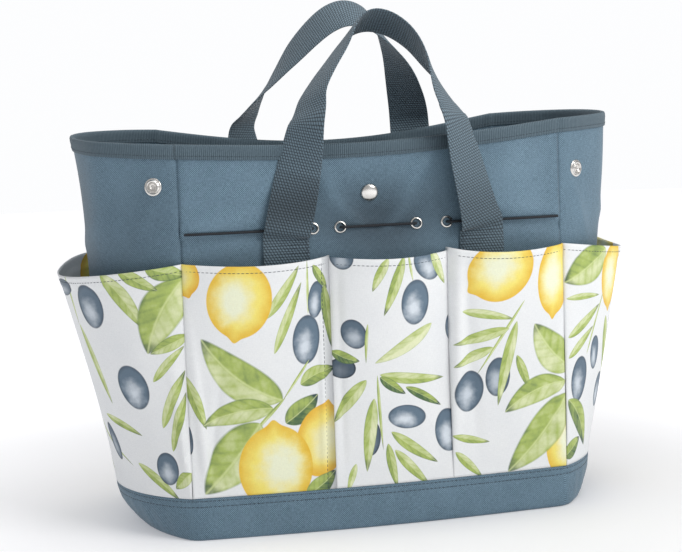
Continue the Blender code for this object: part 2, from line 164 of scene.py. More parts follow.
def rgb(red, green, blue):
    """A linear colour from the 0 to 255 values of a colour card."""
    card = [part / 255.0 for part in (red, green, blue)]
    line = [part / 12.92 if part <= 0.04045 else ((part + 0.055) / 1.055) ** 2.4 for part in card]
    return (*line, 1.0)


# The walls of the room are white to the eye, and send a little less light than that.
tree = room.node_tree
background = tree.nodes["Background"]
background.inputs["Color"].default_value = (0.985, 0.990, 1.0, 1.0)
seen = put(tree, "ShaderNodeLightPath").outputs["Is Camera Ray"]
tree.links.new(scaled(tree, seen, 0.455, 0.54), background.inputs["Strength"])

table_top, tree, shader = new_material("table_top", 0.55, specular=0.2)
place = object_place(tree)
distance = put(tree, "ShaderNodeVectorMath", {0: place}, operation="LENGTH").outputs["Value"]
grain = noise(tree, place, 3.0, 2.0)
table_tone = mixed(tree, grain, (0.70, 0.70, 0.71, 1.0), (0.75, 0.75, 0.76, 1.0))
tree.links.new(table_tone, shader.inputs["Base Color"])
# The table top glows as painted light: near the bag more on the left, to lift its shadow there, and far away
# strongly, to pass as a white backdrop.
far_away = ramp_between(tree, distance, 0.26, 0.75, smooth=True)
split = put(tree, "ShaderNodeSeparateXYZ", {0: place})
leftward = ramp_between(tree, split.outputs["X"], 0.15, -0.35, smooth=True)
near_painted_glow = mixed(tree, leftward, (0.12, 0.12, 0.125, 1.0), (0.30, 0.30, 0.31, 1.0))
tree.links.new(mixed(tree, far_away, near_painted_glow, (0.60, 0.60, 0.61, 1.0)), shader.inputs["Emission Color"])
shader.inputs["Emission Strength"].default_value = 1.0

floor_mesh = bpy.data.meshes.new("table")
shape = bmesh.new()
bmesh.ops.create_circle(shape, cap_ends=True, segments=96, radius=6.0)
shape.to_mesh(floor_mesh)
shape.free()
floor = bpy.data.objects.new("table", floor_mesh)
floor.data.materials.append(table_top)
bpy.context.scene.collection.objects.link(floor)


# ---- base: panel, board and band --------------------------------------------
# The bag stands on a canvas panel with a black plastic board laid on it inside.
# A band of doubled canvas, turned at the floor, is sewn round the foot of the
# walls with two rows of thread and carries the pockets' lower edges.
WIDTH = 0.325
DEPTH = 0.190
HALF_WIDTH = WIDTH / 2
HALF_DEPTH = DEPTH / 2
FRONT_CONVEX = 0.008
BULGE_FLOOR = {1: 0.038, -1: 0.036}
BULGE_BAND = {1: 0.0485, -1: 0.056}
BULGE_RIM = {1: 0.072, -1: 0.082}
BAND_HEIGHT = 0.036
RIM_HEIGHT = 0.334
CLOTH = 0.0015


def bulge(height, end):
    """How far an end wall bows out at a height."""
    if height < BAND_HEIGHT:
        swell = math.sin(math.pi / 2 * max(height, 0.0) / BAND_HEIGHT)
        return BULGE_FLOOR[end] + (BULGE_BAND[end] - BULGE_FLOOR[end]) * swell
    share = (height - BAND_HEIGHT) / (RIM_HEIGHT - BAND_HEIGHT)
    return BULGE_BAND[end] + (BULGE_RIM[end] - BULGE_BAND[end]) * share


def arc_shape(height, end):
    """Radius, half angle and centre of an end wall's arc at a height."""
    sagitta = bulge(height, end)
    radius = (HALF_DEPTH ** 2 + sagitta ** 2) / (2 * sagitta)
    return radius, math.asin(HALF_DEPTH / radius), HALF_WIDTH + sagitta - radius


def on_face(across, out, height, side):
    """A point on the front (side 1) or rear (-1); across runs left to right from outside."""
    x = side * across
    bow = FRONT_CONVEX * math.cos(math.pi * x / WIDTH)
    return Vector((x, -side * (HALF_DEPTH + bow + out), height))


def on_end(across, out, height, end):
    """A point on the right (end 1) or left (-1) wall; across runs left to right from outside."""
    radius, half_angle, centre = arc_shape(height, end)
    angle = max(-half_angle, min(half_angle, end * across / radius))
    reach = radius + out
    return Vector((end * (centre + reach * math.cos(angle)), reach * math.sin(angle), height))


def end_half(height, end):
    """Half the length of an end wall's arc at a height."""
    radius, half_angle, _ = arc_shape(height, end)
    return radius * half_angle


def hump(value, middle, width):
    """A soft bump, 1 at its middle."""
    return math.exp(-((value - middle) / width) ** 2)


def rise(value, low, high):
    """A smooth step from 0 at low to 1 at high."""
    share = min(max((value - low) / (high - low), 0.0), 1.0)
    return share * share * (3 - 2 * share)


def mesh_object(name, points, faces, material, uvs=None, sharp=50.0):
    """A piece from points and faces, with a UV map in metres where it is cloth."""
    mesh = bpy.data.meshes.new(name)
    mesh.from_pydata([tuple(point) for point in points], [], faces)
    if uvs:
        layer = mesh.uv_layers.new(name="Cloth")
        for loop in mesh.loops:
            layer.data[loop.index].uv = uvs[loop.vertex_index]
    mesh.polygons.foreach_set("use_smooth", [True] * len(mesh.polygons))
    if sharp:
        mesh.set_sharp_from_angle(angle=math.radians(sharp))
    mesh.materials.append(material)
    piece = bpy.data.objects.new(name, mesh)
    bpy.context.scene.collection.objects.link(piece)
    return piece


def turned_outward(piece, sharp):
    """Face a closed body's normals outwards and keep its edges sharp past an angle in degrees."""
    shape = bmesh.new()
    shape.from_mesh(piece.data)
    bmesh.ops.recalc_face_normals(shape, faces=shape.faces)
    shape.to_mesh(piece.data)
    shape.free()
    piece.data.set_sharp_from_angle(angle=math.radians(sharp))
    return piece


def cloth_sheet(name, point, columns, rows, wide, tall, material, thickness, offset):
    """A sheet through point(u, v), given its thickness; its UV map is the flat cloth in metres."""
    points = []
    uvs = []
    for row in range(rows + 1):
        for column in range(columns + 1):
            u = column / columns
            v = row / rows
            points.append(point(u, v))
            uvs.append((u * wide, v * tall))
    faces = []
    for row in range(rows):
        for column in range(columns):
            corner = row * (columns + 1) + column
            faces.append((corner, corner + 1, corner + columns + 2, corner + columns + 1))
    piece = mesh_object(name, points, faces, material, uvs)
    solid = piece.modifiers.new("Cloth", "SOLIDIFY")
    solid.thickness = thickness
    solid.offset = offset
    return piece


def section_loft(name, sections, material, closed, along=None, sharp=50.0):
    """A closed body through equal rings of points; its UV runs along and round it in metres."""
    count = len(sections[0])
    if along is None:
        along = [0.0]
        for first, second in zip(sections, sections[1:]):
            along.append(along[-1] + (second[0] - first[0]).length)
    around = [0.0]
    for first, second in zip(sections[0], sections[0][1:]):
        around.append(around[-1] + (second - first).length)
    points = []
    uvs = []
    for section, reach in zip(sections, along):
        points += section
        uvs += [(spot, reach) for spot in around]
    faces = []
    last = len(sections) if closed else len(sections) - 1
    for station in range(last):
        first = station * count
        second = ((station + 1) % len(sections)) * count
        for index in range(count):
            after = (index + 1) % count
            faces.append((first + index, first + after, second + after, second + index))
    if not closed:
        faces.append(tuple(reversed(range(count))))
        faces.append(tuple(range((len(sections) - 1) * count, len(sections) * count)))
    piece = mesh_object(name, points, faces, material, uvs, sharp=None)
    return turned_outward(piece, sharp)


def effect_group(name, inputs, outputs):
    """A shader group with named inputs and outputs: the group, its input and output nodes."""
    group = bpy.data.node_groups.new(name, "ShaderNodeTree")
    for label, kind, value in inputs:
        socket = group.interface.new_socket(name=label, in_out="INPUT", socket_type=kind)
        if value is not None:
            socket.default_value = value
    for label, kind in outputs:
        group.interface.new_socket(name=label, in_out="OUTPUT", socket_type=kind)
    return group, group.nodes.new("NodeGroupInput"), group.nodes.new("NodeGroupOutput")


FLOAT = "NodeSocketFloat"
VECTOR = "NodeSocketVector"
COLOUR = "NodeSocketColor"

oxford_weave, start, finish = effect_group(
    "oxford_weave", [("Vector", VECTOR, None), ("Pitch", FLOAT, 0.0009), ("Slub", FLOAT, 0.5)],
    [("Height", FLOAT), ("Thread", FLOAT), ("Cloud", FLOAT)])
tree = oxford_weave
cloth = start.outputs["Vector"]
flat = put(tree, "ShaderNodeSeparateXYZ", {0: cloth})
turn = calc(tree, "DIVIDE", 2 * math.pi, start.outputs["Pitch"])
warp = calc(tree, "SINE", times(tree, flat.outputs["X"], turn))
weft = calc(tree, "SINE", times(tree, flat.outputs["Y"], turn))
crossing = times(tree, warp, weft)
along_weft = put(tree, "ShaderNodeMapping", {"Vector": cloth, "Scale": (260.0, 1500.0, 1.0)})
along_warp = put(tree, "ShaderNodeMapping", {"Vector": cloth, "Scale": (1500.0, 260.0, 1.0)})
weft_slub = noise(tree, along_weft.outputs[0], 1.0, 1.0)
warp_slub = noise(tree, along_warp.outputs[0], 1.0, 1.0)
slubs = calc(tree, "ADD", weft_slub, warp_slub)
slub_part = times(tree, calc(tree, "SUBTRACT", slubs, 1.0), start.outputs["Slub"])
thread = scaled(tree, crossing, 0.55, scaled(tree, slub_part, 1.1, 0.5), clamp=True)
height = scaled(tree, crossing, 0.35, scaled(tree, slub_part, 0.8, 0.5))
cloud = noise(tree, cloth, 26.0, 3.0)
tree.links.new(height, finish.inputs["Height"])
tree.links.new(thread, finish.inputs["Thread"])
tree.links.new(cloud, finish.inputs["Cloud"])


def group_node(tree, group, feeds):
    """Place an effect group in a material."""
    item = tree.nodes.new("ShaderNodeGroup")
    item.node_tree = group
    for key, value in feeds.items():
        if isinstance(value, bpy.types.NodeSocket):
            tree.links.new(value, item.inputs[key])
        else:
            item.inputs[key].default_value = value
    return item


def store_painted_shade(piece, painted_shade_at):
    """Store how much painted shade each point of a piece gets, in metres of fold depth, for its material."""
    stored = piece.data.attributes.new("PaintedShade", "FLOAT", "POINT")
    for vertex in piece.data.vertices:
        stored.data[vertex.index].value = painted_shade_at(vertex.co)


def with_painted_fold_shade(tree, colour):
    """Painted shade darkens the cloth where its stored value is deep, and painted light makes its raised
    ridges paler.
    """
    depth = put(tree, "ShaderNodeAttribute", attribute_name="PaintedShade").outputs["Fac"]
    fold_painted_shade = mixed(tree, ramp_between(tree, depth, 0.0, 0.007), (1.0, 1.0, 1.0, 1.0), (0.36, 0.37, 0.38, 1.0))
    ridge_painted_light = mixed(tree, ramp_between(tree, depth, 0.0, -0.006), fold_painted_shade, (1.25, 1.22, 1.20, 1.0))
    return multiplied(tree, 1.0, colour, ridge_painted_light)


def canvas_material(name, dark, light, roughness, pitch=0.0017):
    """Coated oxford canvas: dark and light threads crossing, with a faint sheen."""
    material, tree, shader = new_material(name, roughness, specular=0.35)
    flat = cloth_place(tree)
    weave = group_node(tree, oxford_weave, {"Vector": flat, "Pitch": pitch, "Slub": 0.6})
    threads = mixed(tree, weave.outputs["Thread"], dark, light)
    faded = times(tree, calc(tree, "SUBTRACT", weave.outputs["Cloud"], 0.42, clamp=True), 0.9)
    # The canvas colour carries painted shade in its folds and painted light on its ridges.
    tree.links.new(with_painted_fold_shade(tree, mixed(tree, faded, threads, light)), shader.inputs["Base Color"])
    rough = scaled(tree, weave.outputs["Thread"], -0.12, roughness + 0.06)
    tree.links.new(rough, shader.inputs["Roughness"])
    emboss(tree, shader, weave.outputs["Height"], 0.55, 0.00030)
    shader.inputs["Sheen Weight"].default_value = 0.12
    shader.inputs["Sheen Roughness"].default_value = 0.4
    return material


canvas = canvas_material("slate_canvas", (0.036, 0.070, 0.100, 1.0), (0.168, 0.266, 0.345, 1.0), 0.60)


def corner_groove(distance):
    """The walls turn in at a corner seam, where their edges are sewn together."""
    return -0.0016 * hump(distance, 0.0, 0.0030)


def ring_stations(face_steps, end_steps):
    """Once round the bag from the front left corner: (wall, side, share from 0 to 1)."""
    stations = [("face", 1, index / face_steps) for index in range(face_steps)]
    stations += [("end", 1, index / end_steps) for index in range(end_steps)]
    stations += [("face", -1, index / face_steps) for index in range(face_steps)]
    stations += [("end", -1, index / end_steps) for index in range(end_steps)]
    return stations


def ring_point(station, out, height):
    """A point at a station of the ring, moved out from the wall."""
    wall, side, share = station
    if wall == "face":
        across = (share - 0.5) * WIDTH
        out += corner_groove(HALF_WIDTH - abs(across))
        return on_face(across, out, height, side)
    half = end_half(height, side)
    across = (2 * share - 1) * half
    out += corner_groove(half - abs(across))
    return on_end(across, out, height, side)


def band_section(station):
    """An upright cut through the band: out from the wall, and height."""
    outline = ((-0.0035, 0.0003), (-0.0002, 0.0004), (0.0008, 0.0016), (0.0013, 0.0045),
               (0.0015, 0.010), (0.0014, 0.016), (0.0015, 0.022), (0.0013, 0.0272), (0.0009, 0.0285),
               (0.0014, 0.0298), (0.0013, 0.0322), (0.0009, 0.0334), (0.0014, 0.0346), (0.0013, 0.0357),
               (0.0007, 0.0362), (-0.0004, 0.0358), (-0.0015, 0.0350), (-0.0015, 0.0180), (-0.0015, 0.0040))
    wall, side, share = station
    place = share * 40 + (11 if wall == "end" else 0) + 5 * side
    ripple = 0.0004 * math.sin(2.1 * place) + 0.0003 * math.sin(0.9 * place + 1.0)
    swell = [ripple * math.sin(math.pi * min(height / 0.030, 1.0)) for _, height in outline]
    return [ring_point(station, out + extra, height) for (out, height), extra in zip(outline, swell)]


stations = ring_stations(110, 80)
base_band = section_loft("base_band", [band_section(station) for station in stations], canvas, closed=True)
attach(base_band, "bag")
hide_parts("base_band_front", "base_band_rear", "base_band_left", "base_band_right")


def floor_outline(inset, steps):
    """The base's plan, inset from the walls, once round from the front left corner."""
    outline = []
    for wall, side, share in ring_stations(steps, steps):
        if wall == "face":
            reach = HALF_WIDTH - 1.2 * inset
            outline.append(on_face((2 * share - 1) * reach, -inset, 0.0, side))
        else:
            outline.append(on_end((2 * share - 1) * end_half(0.0, side) * 0.985, -inset, 0.0, side))
    return outline


def floor_plate(name, inset, bottom, thickness, bevel, material, steps=32, sag=0.0):
    """A flat plate in the shape of the base, in rings so that it can sag, with rounded edges."""
    outline = floor_outline(inset, steps)
    rings = (1.0, 0.97, 0.90, 0.75, 0.5, 0.25)
    count = len(outline)
    points = []
    uvs = []
    for level in (1, 0):
        for ring in rings:
            for point in outline:
                trim = bevel if ring == 1.0 else 0.0
                height = bottom + (thickness - trim if level else trim)
                height += sag * (1 - ring) * level
                points.append((point.x * ring, point.y * ring, height))
                uvs.append((point.x * ring + 0.3, point.y * ring + 0.2))
        points.append((0.0, 0.0, bottom + thickness * level + sag * level))
        uvs.append((0.3, 0.2))
    block = len(rings) * count + 1
    faces = []
    for level in (0, 1):
        first = level * block
        for ring in range(len(rings) - 1):
            for index in range(count):
                after = (index + 1) % count
                low = first + ring * count
                faces.append((low + index, low + after, low + count + after, low + count + index))
        for index in range(count):
            inner = first + (len(rings) - 1) * count
            faces.append((inner + index, inner + (index + 1) % count, first + block - 1))
    for index in range(count):
        after = (index + 1) % count
        faces.append((index, after, block + after, block + index))
    piece = mesh_object(name, points, faces, material, uvs, sharp=None)
    return turned_outward(piece, 35.0)


base_panel = floor_plate("base_cloth", 0.0018, 0.0, 0.0020, 0.0005, canvas)
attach(base_panel, "bag")
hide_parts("base_panel")

board_black, tree, shader = new_material("black_board", 0.45, specular=0.45)
place = object_place(tree)
pebble = put(tree, "ShaderNodeTexVoronoi", {"Vector": place, "Scale": 900.0}).outputs["Distance"]
scuff = noise(tree, place, 60.0, 4.0)
scuffed = ramp_between(tree, scuff, 0.55, 0.75)
tree.links.new(mixed(tree, scuffed, (0.018, 0.019, 0.021, 1.0), (0.045, 0.047, 0.052, 1.0)),
               shader.inputs["Base Color"])
tree.links.new(scaled(tree, scuffed, 0.2, 0.42), shader.inputs["Roughness"])
emboss(tree, shader, pebble, 0.5, 0.0003)
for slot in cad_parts["base_board"].material_slots:
    slot.material = board_black


# ---- sewing thread -----------------------------------------------------------
# Every seam is a row of short lockstitches in dark polyester thread, pulled down
# into the cloth at each hole; the rows below follow the band's two seams.
thread_dark, tree, shader = new_material("navy_thread", 0.6, specular=0.4)
place = object_place(tree)
twist = put(tree, "ShaderNodeTexWave", {"Vector": place, "Scale": 1500.0, "Distortion": 1.0})
tree.links.new(mixed(tree, twist.outputs["Fac"], (0.020, 0.030, 0.042, 1.0), (0.060, 0.082, 0.105, 1.0)),
               shader.inputs["Base Color"])

stitch_tree = bpy.data.node_groups.new("stitch_row", "GeometryNodeTree")
for label, kind, value in (("Line", "NodeSocketGeometry", None), ("Pitch", FLOAT, 0.0034),
                           ("Length", FLOAT, 0.0027), ("Thread", FLOAT, 0.0006),
                           ("Finish", "NodeSocketMaterial", None)):
    socket = stitch_tree.interface.new_socket(name=label, in_out="INPUT", socket_type=kind)
    if value is not None:
        socket.default_value = value
stitch_tree.interface.new_socket(name="Stitches", in_out="OUTPUT", socket_type="NodeSocketGeometry")
tree = stitch_tree
start = tree.nodes.new("NodeGroupInput")
finish = tree.nodes.new("NodeGroupOutput")
curve = put(tree, "GeometryNodeMeshToCurve", {"Mesh": start.outputs["Line"]})
spaced = put(tree, "GeometryNodeResampleCurve", {"Curve": curve.outputs[0], "Length": start.outputs["Pitch"]},
             mode="LENGTH")
holes = put(tree, "GeometryNodeCurveToPoints", {"Curve": spaced.outputs[0]}, mode="EVALUATED")
lie = put(tree, "FunctionNodeAlignRotationToVector", {"Vector": holes.outputs["Tangent"]}, axis="X")
bead = put(tree, "GeometryNodeMeshUVSphere", {"Segments": 6, "Rings": 4, "Radius": 0.5})
size = put(tree, "ShaderNodeCombineXYZ", {0: start.outputs["Length"], 1: start.outputs["Thread"],
                                          2: start.outputs["Thread"]})
stitches = put(tree, "GeometryNodeInstanceOnPoints",
               {"Points": holes.outputs["Points"], "Instance": bead.outputs["Mesh"],
                "Rotation": lie.outputs[0], "Scale": size.outputs[0]})
real = put(tree, "GeometryNodeRealizeInstances", {0: stitches.outputs[0]})
smooth = put(tree, "GeometryNodeSetShadeSmooth", {0: real.outputs[0]})
dressed = put(tree, "GeometryNodeSetMaterial", {"Geometry": smooth.outputs[0],
                                                "Material": start.outputs["Finish"]})
tree.links.new(dressed.outputs[0], finish.inputs[0])


def made_mesh(name, line_mesh, tree, values, material):
    """Run a geometry tree on a mesh and keep its result as a plain mesh."""
    source = bpy.data.objects.new(name + "_line", line_mesh)
    bpy.context.scene.collection.objects.link(source)
    maker = source.modifiers.new("Maker", "NODES")
    maker.node_group = tree
    for item in tree.interface.items_tree:
        if item.item_type == "SOCKET" and item.in_out == "INPUT" and item.name in values:
            maker[item.identifier] = values[item.name]
    bpy.context.view_layer.update()
    graph = bpy.context.evaluated_depsgraph_get()
    mesh = bpy.data.meshes.new_from_object(source.evaluated_get(graph), depsgraph=graph)
    mesh.name = name
    source.modifiers.clear()
    bpy.data.objects.remove(source, do_unlink=True)
    mesh.materials.clear()
    mesh.materials.append(material)
    piece = bpy.data.objects.new(name, mesh)
    bpy.context.scene.collection.objects.link(piece)
    return piece


def sewn(name, rows, pitch=0.0034, length=0.0029, thread=0.00062):
    """Stitches along rows of points; each row is one open line."""
    points = []
    edges = []
    for row in rows:
        first = len(points)
        points += [tuple(point) for point in row]
        edges += [(first + index, first + index + 1) for index in range(len(row) - 1)]
    mesh = bpy.data.meshes.new(name + "_line")
    mesh.from_pydata(points, edges, [])
    values = {"Pitch": pitch, "Length": length, "Thread": thread, "Finish": thread_dark}
    piece = made_mesh(name, mesh, stitch_tree, values, thread_dark)
    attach(piece, "bag")


def band_row(height, out):
    """One row of stitches right round the band."""
    row = [ring_point(station, out, height) for station in ring_stations(100, 70)]
    return row + [row[0]]


sewn("band_stitches", [band_row(0.0286, 0.00105), band_row(0.0335, 0.00105)], pitch=0.0036, length=0.0030)


# ---- walls --------------------------------------------------------------------
# Front, rear and two rounded end walls of one layer of coated canvas with its
# lining, sewn at four corner seams that are turned inside. The cord and the
# snaps pull the soft upper part into shallow folds.
POCKET_FOOT = 0.0363
CORD_HEIGHT = 0.2540


def fold(across, height, middle, level, lean, long, wide, high):
    """A soft straight ridge (or, below zero, a dent) in the cloth, leaning by degrees."""
    turn = math.radians(lean)
    step = across - middle
    lift = height - level
    down_it = step * math.cos(turn) + lift * math.sin(turn)
    over_it = -step * math.sin(turn) + lift * math.cos(turn)
    return high * math.exp(-(down_it / long) ** 2 - (over_it / wide) ** 2)


# Each fold: its middle across and up, lean, half length, half width, height.
FACE_FOLDS = (
    (-0.112, 0.292, 70, 0.050, 0.026, 0.0045),
    (-0.125, 0.262, 8, 0.040, 0.007, 0.0022),
    (-0.118, 0.250, 4, 0.050, 0.004, -0.0026),
    (0.122, 0.290, 100, 0.050, 0.024, 0.0040),
    (0.128, 0.262, -6, 0.036, 0.007, 0.0020),
    (0.122, 0.250, -4, 0.045, 0.004, -0.0024),
    (0.000, 0.262, 0, 0.070, 0.030, -0.0070),
    (0.000, 0.325, 0, 0.060, 0.022, 0.0030),
    (-0.042, 0.290, 118, 0.040, 0.008, 0.0024),
    (0.034, 0.293, 58, 0.038, 0.007, 0.0026),
    (0.020, 0.262, 40, 0.022, 0.005, 0.0018),
    (0.045, 0.306, 20, 0.035, 0.007, 0.0018),
    (-0.020, 0.262, 140, 0.020, 0.005, 0.0016),
    (0.000, 0.322, 0, 0.050, 0.010, 0.0015),
    (-0.075, 0.316, 25, 0.035, 0.008, -0.0018),
    (0.085, 0.318, -22, 0.030, 0.008, -0.0016),
)
END_FOLDS = (
    (0.060, 0.300, 82, 0.060, 0.018, 0.0030),
    (-0.060, 0.300, 98, 0.060, 0.018, 0.0030),
    (0.000, 0.290, 90, 0.060, 0.030, -0.0040),
    (0.100, 0.262, 60, 0.035, 0.006, 0.0016),
    (-0.100, 0.262, 120, 0.035, 0.006, 0.0016),
    (0.035, 0.255, 15, 0.040, 0.008, 0.0014),
    (-0.035, 0.252, 165, 0.040, 0.008, 0.0014),
)


def face_relief(across, height):
    """How far the front or rear cloth stands out of its plain shape."""
    out = corner_groove(HALF_WIDTH - abs(across))
    for middle, level, lean, long, wide, high in FACE_FOLDS:
        out += fold(across, height, middle, level, lean, long, wide, high)
    return out


def end_relief(across, height, end):
    """How far an end wall's cloth stands out of its plain shape."""
    out = corner_groove(end_half(height, end) - abs(across))
    for middle, level, lean, long, wide, high in END_FOLDS:
        out += fold(across, height, middle, level, lean, long, wide, high)
    return out


def face_painted_shade(across, height):
    """How much painted shade a point of a long wall gets: most between the two straps below the cord, more in
    its dents than on its ridges.
    """
    middle = 0.0040 * hump(across, 0.004, 0.048) * hump(height, 0.252, 0.030)
    beside = 0.0014 * hump(abs(across), 0.125, 0.040) * hump(height, 0.238, 0.014)
    return middle + beside - 0.55 * face_relief(across, height)


def end_painted_shade(across, height, end):
    """How much painted shade a point of an end wall gets: more in its dents, and more on the left one, which
    faces away from the light.
    """
    away = 0.0022 if end < 0 else 0.0
    return away * hump(height, 0.262, 0.050) - 0.5 * end_relief(across, height, end)


def rim_height(x, side):
    """Height of a long wall's top edge: it sags between its corners."""
    slack = math.cos(math.pi * x / WIDTH)
    if side > 0:
        return RIM_HEIGHT - 0.0035 - 0.0085 * slack + 0.005 * x / HALF_WIDTH
    return RIM_HEIGHT + 0.0075 - 0.0175 * slack + 0.002 * x / HALF_WIDTH


def end_rim_height(along, end):
    """Height of an end wall's top edge; along runs -1 front to 1 rear."""
    front = rim_height(end * HALF_WIDTH, 1)
    rear = rim_height(end * HALF_WIDTH, -1)
    share = (along + 1) / 2
    swell = 0.003 * (1 - along * along)
    return front + (rear - front) * share * share * (3 - 2 * share) + swell


def face_top(across, side):
    return rim_height(side * across, side)


def end_top(share, end):
    """Top of an end wall at a share from 0 to 1, left to right from outside."""
    return end_rim_height(end * (2 * share - 1), end)


for side, name in ((1, "front"), (-1, "rear")):
    def face_wall(u, v, side=side):
        across = (u - 0.5) * WIDTH
        height = POCKET_FOOT + v * (face_top(across, side) - POCKET_FOOT)
        return on_face(across, face_relief(across, height), height, side)
    wall = cloth_sheet(f"{name}_wall", face_wall, 120, 96, WIDTH, 0.290, canvas, CLOTH, -1)
    store_painted_shade(wall, lambda spot, side=side: face_painted_shade(side * spot.x, spot.z))
    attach(wall, "bag")
    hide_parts(f"{name}_panel")

for end, name in ((1, "right"), (-1, "left")):
    def end_wall(u, v, end=end):
        height = POCKET_FOOT + v * (end_top(u, end) - POCKET_FOOT)
        across = (2 * u - 1) * end_half(height, end)
        return on_end(across, end_relief(across, height, end), height, end)
    wall = cloth_sheet(f"{name}_end_wall", end_wall, 100, 96, 0.262, 0.298, canvas, CLOTH, -1)
    store_painted_shade(wall, lambda spot, end=end: end_painted_shade(end * spot.y, spot.z, end))
    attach(wall, "bag")
    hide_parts(f"{name}_gusset")


# ---- rim binding -----------------------------------------------------------------
# A ribbed grosgrain tape folded over the walls' raw top edge all round the rim,
# and held through all layers by one row of stitches near its lower edge.
grosgrain, tree, shader = new_material("dark_grosgrain", 0.72, specular=0.3)
flat = cloth_place(tree)
split = put(tree, "ShaderNodeSeparateXYZ", {0: flat})
rib = calc(tree, "SINE", times(tree, split.outputs["Y"], 2 * math.pi / 0.0016))
rib = scaled(tree, rib, 0.5, 0.5)
fray = noise(tree, flat, 420.0, 2.0)
shade = scaled(tree, rib, 0.55, times(tree, fray, 0.4), clamp=True)
tree.links.new(mixed(tree, shade, (0.035, 0.058, 0.076, 1.0), (0.120, 0.172, 0.208, 1.0)),
               shader.inputs["Base Color"])
emboss(tree, shader, rib, 0.7, 0.0004)
shader.inputs["Sheen Weight"].default_value = 0.1

# The folded tape's cut: out from the wall's outer face, and height from its top.
TAPE_CUT = ((0.0004, -0.0105), (0.0013, -0.0103), (0.0015, -0.0085), (0.0014, -0.0060), (0.0016, -0.0030),
            (0.0014, -0.0002), (0.0007, 0.0012), (-0.0007, 0.0016), (-0.0021, 0.0012), (-0.0029, -0.0002),
            (-0.0030, -0.0030), (-0.0028, -0.0060), (-0.0029, -0.0085), (-0.0027, -0.0104),
            (-0.0018, -0.0105), (-0.0017, -0.0050), (-0.0016, 0.0002), (0.0002, 0.0002), (0.0003, -0.0050))


def rim_point(station, out, rise_by):
    """A point by the rim at a station, following the wall's folds."""
    wall, side, share = station
    if wall == "face":
        across = (share - 0.5) * WIDTH
        height = face_top(across, side) + rise_by
        return on_face(across, out + face_relief(across, height), height, side)
    height = end_top(share, side) + rise_by
    across = (2 * share - 1) * end_half(height, side)
    return on_end(across, out + end_relief(across, height, side), height, side)


rim_stations = ring_stations(130, 104)
rim_sections = [[rim_point(station, out, lift) for out, lift in TAPE_CUT] for station in rim_stations]
rim_binding = section_loft("rim_tape", rim_sections, grosgrain, closed=True)
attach(rim_binding, "bag")
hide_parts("rim_binding")
rim_row = [rim_point(station, 0.0015, -0.0078) for station in rim_stations]
rim_row_inside = [rim_point(station, -0.0030, -0.0078) for station in rim_stations]
sewn("rim_stitches", [rim_row + rim_row[:1], rim_row_inside + rim_row_inside[:1]],
     pitch=0.0032, length=0.0026, thread=0.0005)


# ---- printed cloth -------------------------------------------------------------
# The pockets are cut from coated white canvas printed with a watercolour pattern
# of lemons, olives, leaves and twigs; each motif is one group, laid one by one.
def paint_group(name, more=()):
    """A group that paints one motif over a colour: also its place, 1 wide from middle to edge."""
    group, start, finish = effect_group(
        name, [("Vector", VECTOR, None), ("Under", COLOUR, None), ("Centre", VECTOR, None),
               ("Turn", VECTOR, None), ("Size", VECTOR, None), *more, ("Depth", FLOAT, 0.5)],
        [("Colour", COLOUR)])
    given = start.outputs
    local = put(group, "ShaderNodeMapping",
                {"Vector": given["Vector"], "Location": given["Centre"], "Rotation": given["Turn"],
                 "Scale": given["Size"]}, vector_type="TEXTURE")
    return group, start, finish, local.outputs[0]


leaf_paint, start, finish, local = paint_group("leaf_paint", [("Bend", FLOAT, 0.0)])
tree = leaf_paint
cloth, depth = start.outputs["Vector"], start.outputs["Depth"]
split = put(tree, "ShaderNodeSeparateXYZ", {0: local})
lx = split.outputs["X"]
arch = calc(tree, "SUBTRACT", 1.0, times(tree, lx, lx), clamp=True)
ly = scaled(tree, arch, start.outputs["Bend"], split.outputs["Y"])
plump = times(tree, calc(tree, "POWER", arch, 0.70), scaled(tree, lx, -0.28, 1.0))
off_line = calc(tree, "ABSOLUTE", ly)
inside = calc(tree, "SUBTRACT", plump, off_line)
mask = ramp_between(tree, inside, 0.0, 0.10)
under_side = ramp_between(tree, ly, 0.12, -0.12)
rib_line = ramp_between(tree, off_line, 0.07, 0.02)
vein_way = scaled(tree, off_line, -0.45, lx)
veins = calc(tree, "POWER", scaled(tree, calc(tree, "SINE", times(tree, vein_way, 19.0)),
                                 0.5, 0.5), 4.0)
wash = noise(tree, cloth, 75.0, 3.0)
edge = ramp_between(tree, inside, 0.22, 0.04)
tone = scaled(tree, under_side, 0.28, scaled(tree, wash, 0.9, -0.36))
tone = scaled(tree, edge, 0.22, scaled(tree, veins, 0.10, tone))
tone = scaled(tree, depth, 0.85, calc(tree, "SUBTRACT", tone, 0.22), clamp=True)
soft = mixed(tree, ramp_between(tree, tone, 0.0, 0.5), rgb(226, 231, 190), rgb(170, 188, 100))
deep = mixed(tree, ramp_between(tree, tone, 0.5, 1.0), soft, rgb(74, 104, 70))
outline = times(tree, ramp_between(tree, inside, 0.13, 0.03), 0.5)
deep = mixed(tree, outline, deep, rgb(118, 142, 84))
tipped = ramp_between(tree, scaled(tree, wash, 0.5, lx), 0.85, 1.20, smooth=True)
tipped = times(tree, tipped, times(tree, depth, 1.7), clamp=True)
deep = mixed(tree, tipped, deep, rgb(50, 76, 74))
lined = mixed(tree, times(tree, rib_line, 0.6), deep, rgb(212, 222, 160))
tree.links.new(mixed(tree, mask, start.outputs["Under"], lined), finish.inputs["Colour"])

